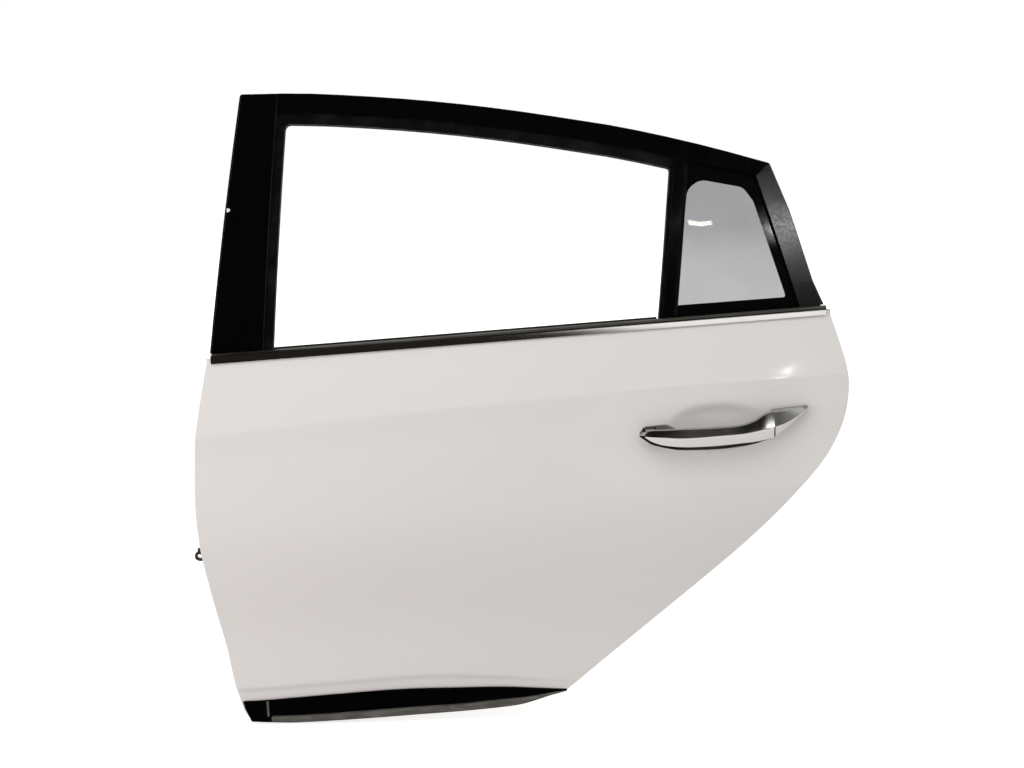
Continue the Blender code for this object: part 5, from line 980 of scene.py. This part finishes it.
def build_grip():
    """Bright pull grip with its legs and toe, and the painted insert in its face."""
    place = handle_frame()
    bm = bmesh.new()
    rings = []
    for k in range(HANDLE_STATIONS + 1):
        share = lerp(GRIP_TIP, 1.0, (k / HANDLE_STATIONS) ** GRIP_CROWDING)
        low, face_top, back_top, outer = read_rows(GRIP_SECTIONS, share)
        u = share * HANDLE_LENGTH
        inside = min(max(u, 0.0) / GRIP_END, (HANDLE_LENGTH - u) / GRIP_END, 1.0)
        back = min(lerp(GRIP_END_BACK, GRIP_BACK, inside), outer - 0.006)
        ring = handle_ring(low, face_top, back_top, outer, (back, back))
        rings.append([place @ Vector((u, v, n)) for v, n in ring])
    loft(bm, rings)
    pivot_u, pivot_n = HANDLE_PIVOT
    half_u, half_v = LEG_SIZE[0] / 2.0, LEG_SIZE[1] / 2.0
    rear_u = HANDLE_LENGTH - half_u
    toe_u, toe_n = HANDLE_LENGTH + TOE_LENGTH, TOE_HEIGHT - LEG_REACH
    for low, high in (((pivot_u - half_u, -half_v, pivot_n - 0.005), (pivot_u + half_u, half_v, LEG_ROOT)),
                      ((rear_u - half_u, -half_v, -LEG_REACH), (rear_u + half_u, half_v, LEG_ROOT)),
                      ((rear_u, -half_v, -LEG_REACH), (toe_u, half_v, toe_n))):
        box_faces(bm, low, high, place)
    add_piece("handle_grip_bright", bm, "handle_grip", HANDLE_CHROME, 42.0)

    bm = bmesh.new()
    rings = []
    first, last = INSERT_SECTIONS[0][0], INSERT_SECTIONS[-1][0]
    for k in range(HANDLE_STATIONS + 1):
        share = lerp(first, last, k / HANDLE_STATIONS)
        low, high = read_rows(INSERT_SECTIONS, share)
        outer = read_rows(GRIP_SECTIONS, share)[3]
        close = min(high - low, 0.0016)
        crest, floor = outer + INSERT_PROUD, outer - INSERT_DEPTH
        ring = fillet([(low, floor, 0.0002), (low, outer + INSERT_PROUD * 0.2, close * 0.4),
                       (low + close * 0.6, crest, 0.0006), (high - 0.0003, crest, 0.0003),
                       (high, outer, 0.0002), (high, floor, 0.0002)], 3)
        rings.append([place @ Vector((share * HANDLE_LENGTH, v, n)) for v, n in ring])
    loft(bm, rings)
    add_piece("grip_insert_painted", bm, "grip_insert", angle=42.0)


def build_cap():
    """Cap behind the grip: bright above, with a painted flank below."""
    place = handle_frame()
    bm = bmesh.new()
    rings = []
    for k in range(CAP_STATIONS + 1):
        reach = lerp(CAP_SECTIONS[0][0], CAP_SECTIONS[-1][0], k / CAP_STATIONS)
        low, face_top, back_top, outer = read_rows(CAP_SECTIONS, reach)
        u = HANDLE_LENGTH + reach
        backs = [min(skin_n(place, u, v) + 0.0006, outer - 0.003) for v in (low, back_top)]
        ring = handle_ring(low, face_top, back_top, outer, backs)
        rings.append([place @ Vector((u, v, n)) for v, n in ring])
    zones = [1 if k < PAINTED_STRIPS else 0 for k in range(len(rings[0]))]
    loft(bm, rings, zones)
    u, v, radius = CAP_STUD
    rod_faces(bm, place, (u, v, STUD_MIDDLE), radius, STUD_LENGTH, 20)
    made = add_piece("handle_cap_bright", bm, "handle_cap", HANDLE_CHROME, 42.0)
    made.data.materials.append(PAINT)


def build_pad():
    """Low pad on the skin round the foot of the handle's front leg."""
    place = handle_frame()
    half_u, half_v = LEG_HOLE
    middle = Vector((HANDLE_PIVOT[0], 0.0))
    hole = [middle + Vector(corner) for corner in ((-half_u, -half_v), (half_u, -half_v),
                                                   (half_u, half_v), (-half_u, half_v))]
    edge = fillet(PAD_OUTLINE, 8)
    turns = sorted(math.atan2(p.y - middle.y, p.x - middle.x) for p in edge + hole)
    turns = [t for k, t in enumerate(turns) if k == 0 or t - turns[k - 1] > 0.002]
    bm = bmesh.new()
    rings = []
    for share, rise in ((0.0, PAD_LIFT), (0.0, 0.5 * PAD_THICKNESS), (0.06, 0.85 * PAD_THICKNESS),
                        (0.14, PAD_THICKNESS), (1.0, PAD_THICKNESS), (1.0, PAD_LIFT), (0.0, PAD_LIFT)):
        ring = []
        for turn in turns:
            reach = lerp(ray_reach(edge, middle, turn), ray_reach(hole, middle, turn), share)
            at = middle + Vector((math.cos(turn), math.sin(turn))) * reach
            ring.append(place @ Vector((at.x, at.y, skin_n(place, at.x, at.y) + rise)))
        rings.append(ring)
    loft(bm, rings, ends=False)
    add_piece("handle_front_pad", bm, "handle_gasket_front", SATIN_CHROME, 50.0)


# Stage

def light_path_mix(tree, seen, unseen, target):
    """Use one shader where the camera, gloss or glass looks, and another for lighting."""
    path = tree.nodes.new("ShaderNodeLightPath")
    total = path.outputs["Is Camera Ray"]
    for other in ("Is Glossy Ray", "Is Transmission Ray"):
        add = tree.nodes.new("ShaderNodeMath")
        add.operation = "MAXIMUM"
        tree.links.new(total, add.inputs[0])
        tree.links.new(path.outputs[other], add.inputs[1])
        total = add.outputs["Value"]
    mix = tree.nodes.new("ShaderNodeMixShader")
    tree.links.new(total, mix.inputs["Fac"])
    tree.links.new(unseen, mix.inputs[1])
    tree.links.new(seen, mix.inputs[2])
    tree.links.new(mix.outputs["Shader"], target)


def build_world():
    world = bpy.data.worlds.new("studio")
    bpy.context.scene.world = world
    world.use_nodes = True
    tree = world.node_tree
    seen = tree.nodes["Background"]
    seen.inputs["Color"].default_value = (1.0, 1.0, 1.0, 1.0)
    lit = tree.nodes.new("ShaderNodeBackground")
    lit.inputs["Color"].default_value = (0.97, 0.98, 1.0, 1.0)
    lit.inputs["Strength"].default_value = WORLD_LIGHT
    light_path_mix(tree, seen.outputs["Background"], lit.outputs["Background"],
                   tree.nodes["World Output"].inputs["Surface"])


def build_floor():
    bm = bmesh.new()
    bmesh.ops.create_grid(bm, x_segments=1, y_segments=1, size=FLOOR_SIZE,
                          matrix=Matrix.Translation((0.5, 0.0, cad_box[0].z - FLOOR_GAP)))
    mesh = bpy.data.meshes.new("floor")
    bm.to_mesh(mesh)
    bm.free()
    floor = bpy.data.objects.new("floor", mesh)
    bpy.context.scene.collection.objects.link(floor)
    g = Graph("pale_floor")
    tree = g.tree
    diffuse = g.add("ShaderNodeBsdfDiffuse")
    diffuse.inputs["Color"].default_value = (0.74, 0.72, 0.71, 1.0)
    glow = g.add("ShaderNodeEmission")
    glow.inputs["Strength"].default_value = FLOOR_GLOW
    lifted = g.add("ShaderNodeAddShader")
    g.link(diffuse.outputs["BSDF"], lifted.inputs[0])
    g.link(glow.outputs["Emission"], lifted.inputs[1])
    light_path_mix(tree, lifted.outputs["Shader"], diffuse.outputs["BSDF"],
                   tree.nodes["Material Output"].inputs["Surface"])
    tree.nodes.remove(g.shader)
    mesh.materials.append(g.material)


def build_surround():
    """Dark studio round the front, seen only in reflections, and pale towards its right."""
    bm = bmesh.new()
    (x0, y0, z0), (x1, y1, z1) = SURROUND_LOW, SURROUND_HIGH
    low = [bm.verts.new((x, y, z0)) for x, y in ((x0, 0.0), (x0, y0), (x1, y0), (x1, 0.0))]
    high = [bm.verts.new((v.co.x, min(v.co.y, y1), z1)) for v in low]
    for k in range(3):
        bm.faces.new((low[k], low[k + 1], high[k + 1], high[k]))
    bm.faces.new(high)
    bm.faces.new(low)
    mesh = bpy.data.meshes.new("surround")
    bm.to_mesh(mesh)
    bm.free()
    made = bpy.data.objects.new("surround", mesh)
    bpy.context.scene.collection.objects.link(made)
    made.visible_camera = False
    made.visible_diffuse = False
    made.visible_transmission = False
    made.visible_shadow = False
    made.visible_volume_scatter = False
    g = Graph("studio_surround")
    split = g.add("ShaderNodeSeparateXYZ")
    g.link(g.place, split.inputs["Vector"])
    across = g.spread(split.outputs["X"], 0.0, 1.0, *SURROUND_PALE)
    far = g.spread(split.outputs["Y"], 0.0, 1.0, *SURROUND_FAR)
    on_floor = g.maths("MULTIPLY", far, g.maths("LESS_THAN", split.outputs["Z"], z0 + 0.01))
    side = g.spread(split.outputs["X"], 0.0, 0.9, *SURROUND_SIDE)
    overhead = g.spread(split.outputs["X"], 0.0, 0.5, *SURROUND_SKY)
    above = g.maths("MULTIPLY", overhead, g.maths("GREATER_THAN", split.outputs["Z"], z1 - 0.01))
    pale = g.maths("MAXIMUM", g.maths("MULTIPLY", across, on_floor), g.maths("MAXIMUM", side, above))
    glow = g.add("ShaderNodeEmission")
    g.link(g.blend(pale, SURROUND_DARK, SURROUND_LIGHT), glow.inputs["Color"])
    g.link(glow.outputs["Emission"], g.tree.nodes["Material Output"].inputs["Surface"])
    g.tree.nodes.remove(g.shader)
    mesh.materials.append(g.material)


def add_area(name, place, target, size, power, colour=(1.0, 1.0, 1.0)):
    lamp = bpy.data.lights.new(name, "AREA")
    lamp.shape = "RECTANGLE"
    lamp.size, lamp.size_y = size
    lamp.energy = power
    lamp.color = colour
    made = bpy.data.objects.new(name, lamp)
    bpy.context.scene.collection.objects.link(made)
    made.location = place
    made.rotation_euler = (Vector(target) - Vector(place)).to_track_quat("-Z", "Y").to_euler()
    return made


def build_camera():
    lens = bpy.data.cameras.new("camera")
    lens.lens = CAMERA_LENS
    lens.sensor_width = SENSOR_WIDTH
    camera = bpy.data.objects.new("camera", lens)
    bpy.context.scene.collection.objects.link(camera)
    camera.location = CAMERA_PLACE
    camera.rotation_euler = (math.pi / 2.0 - CAMERA_PITCH, 0.0, 0.0)
    bpy.context.scene.camera = camera


# World and floor
WORLD_LIGHT = 0.50
FLOOR_SIZE = 9.0
FLOOR_GAP = 0.001
FLOOR_GLOW = 0.66

# Corners of the surround, and its dark and light colours
SURROUND_LOW = (-5.0, -4.6, -0.2085)
SURROUND_HIGH = (6.0, -0.32, 4.4)
SURROUND_DARK = (0.016, 0.013, 0.011)
SURROUND_LIGHT = (1.0, 0.985, 0.975)

# Where the surround turns from dark to light: floor by X and by Y, right side and top by X
SURROUND_PALE = (0.88, 1.10)
SURROUND_FAR = (-1.75, -2.05)
SURROUND_SIDE = (4.5, 6.0)
SURROUND_SKY = (1.3, 2.6)

build_camera()
build_world()
build_floor()
build_surround()
overhead = add_area("overhead", (-0.2, -1.5, 3.2), (0.4, 0.0, 0.3), (3.0, 2.0), 38.0, (1.0, 1.0, 0.98))
front = add_area("front", (-2.1, -2.5, 0.3), (0.3, 0.0, -0.1), (2.4, 1.4), 40.0, (1.0, 0.96, 0.95))
back = add_area("back", (0.5, 3.2, 1.6), (0.5, 0.0, 0.3), (3.0, 2.2), 46.0)
for lamp in (overhead, front, back):
    lamp.visible_glossy = False
add_area("warm_strip", (1.39, -2.73, 1.87), (0.82, 0.05, 0.68), (0.10, 0.04), 0.2, (1.0, 0.93, 0.85))
add_area("small_box", (1.72, -2.70, 1.84), (0.96, 0.05, 0.68), (0.05, 0.04), 3.0)

# Rounding of the edges of the model's nodes that no finer piece replaces
EDGES = {
    "inner_panel": 0.0, "window_frame": 0.0006, "division_bar": 0.0007, "glass_run_channel": 0.0005,
    "b_pillar_applique": 0.0012, "header_moulding": 0.0008, "c_pillar_applique": 0.0008,
    "quarter_glass_seal": 0.0007, "drop_glass": 0.0006, "glass_carrier": 0.0006,
    "regulator_rail": 0.0003, "regulator_motor": 0.0012, "outer_belt_seal": 0.0003,
    "outer_belt_reinforcement": 0.0003, "inner_belt_reinforcement": 0.0003, "inner_belt_seal": 0.0003,
    "handle_pivot_pin": 0.0002, "handle_chassis": 0.0004, "release_lever": 0.0003,
    "latch_case": 0.0008, "latch_claw": 0.0005, "check_box": 0.0010, "check_arm": 0.0005,
    "hinge_reinforcement_lower": 0.0005, "hinge_reinforcement_upper": 0.0005, "impact_beam": 0.0003,
    "beam_bracket_front": 0.0004, "beam_bracket_rear": 0.0004, "sash_bracket_front": 0.0003,
    "sash_bracket_rear": 0.0003, "door_weatherstrip": 0.0,
}
SMOOTHING = make_smoothing()
for name, width in EDGES.items():
    dress(name, width)

for name, look in (("check_arm", DARK_STEEL), ("c_pillar_applique", TRIM_GRAINED)):
    nodes[name].data.materials[0] = look
# The bevelled edges of these trims take a grey that is a painted highlight.
for name in ("b_pillar_applique", "glass_run_channel", "division_bar"):
    nodes[name].data.materials.append(PAINTED_EDGE_HIGHLIGHT)
    nodes[name].modifiers["edges"].material = 1

build_skin()
build_moulding()
build_garnish()
build_quarter_glass()
build_grip()
build_cap()
build_pad()

bpy.context.scene.view_settings.view_transform = "Standard"
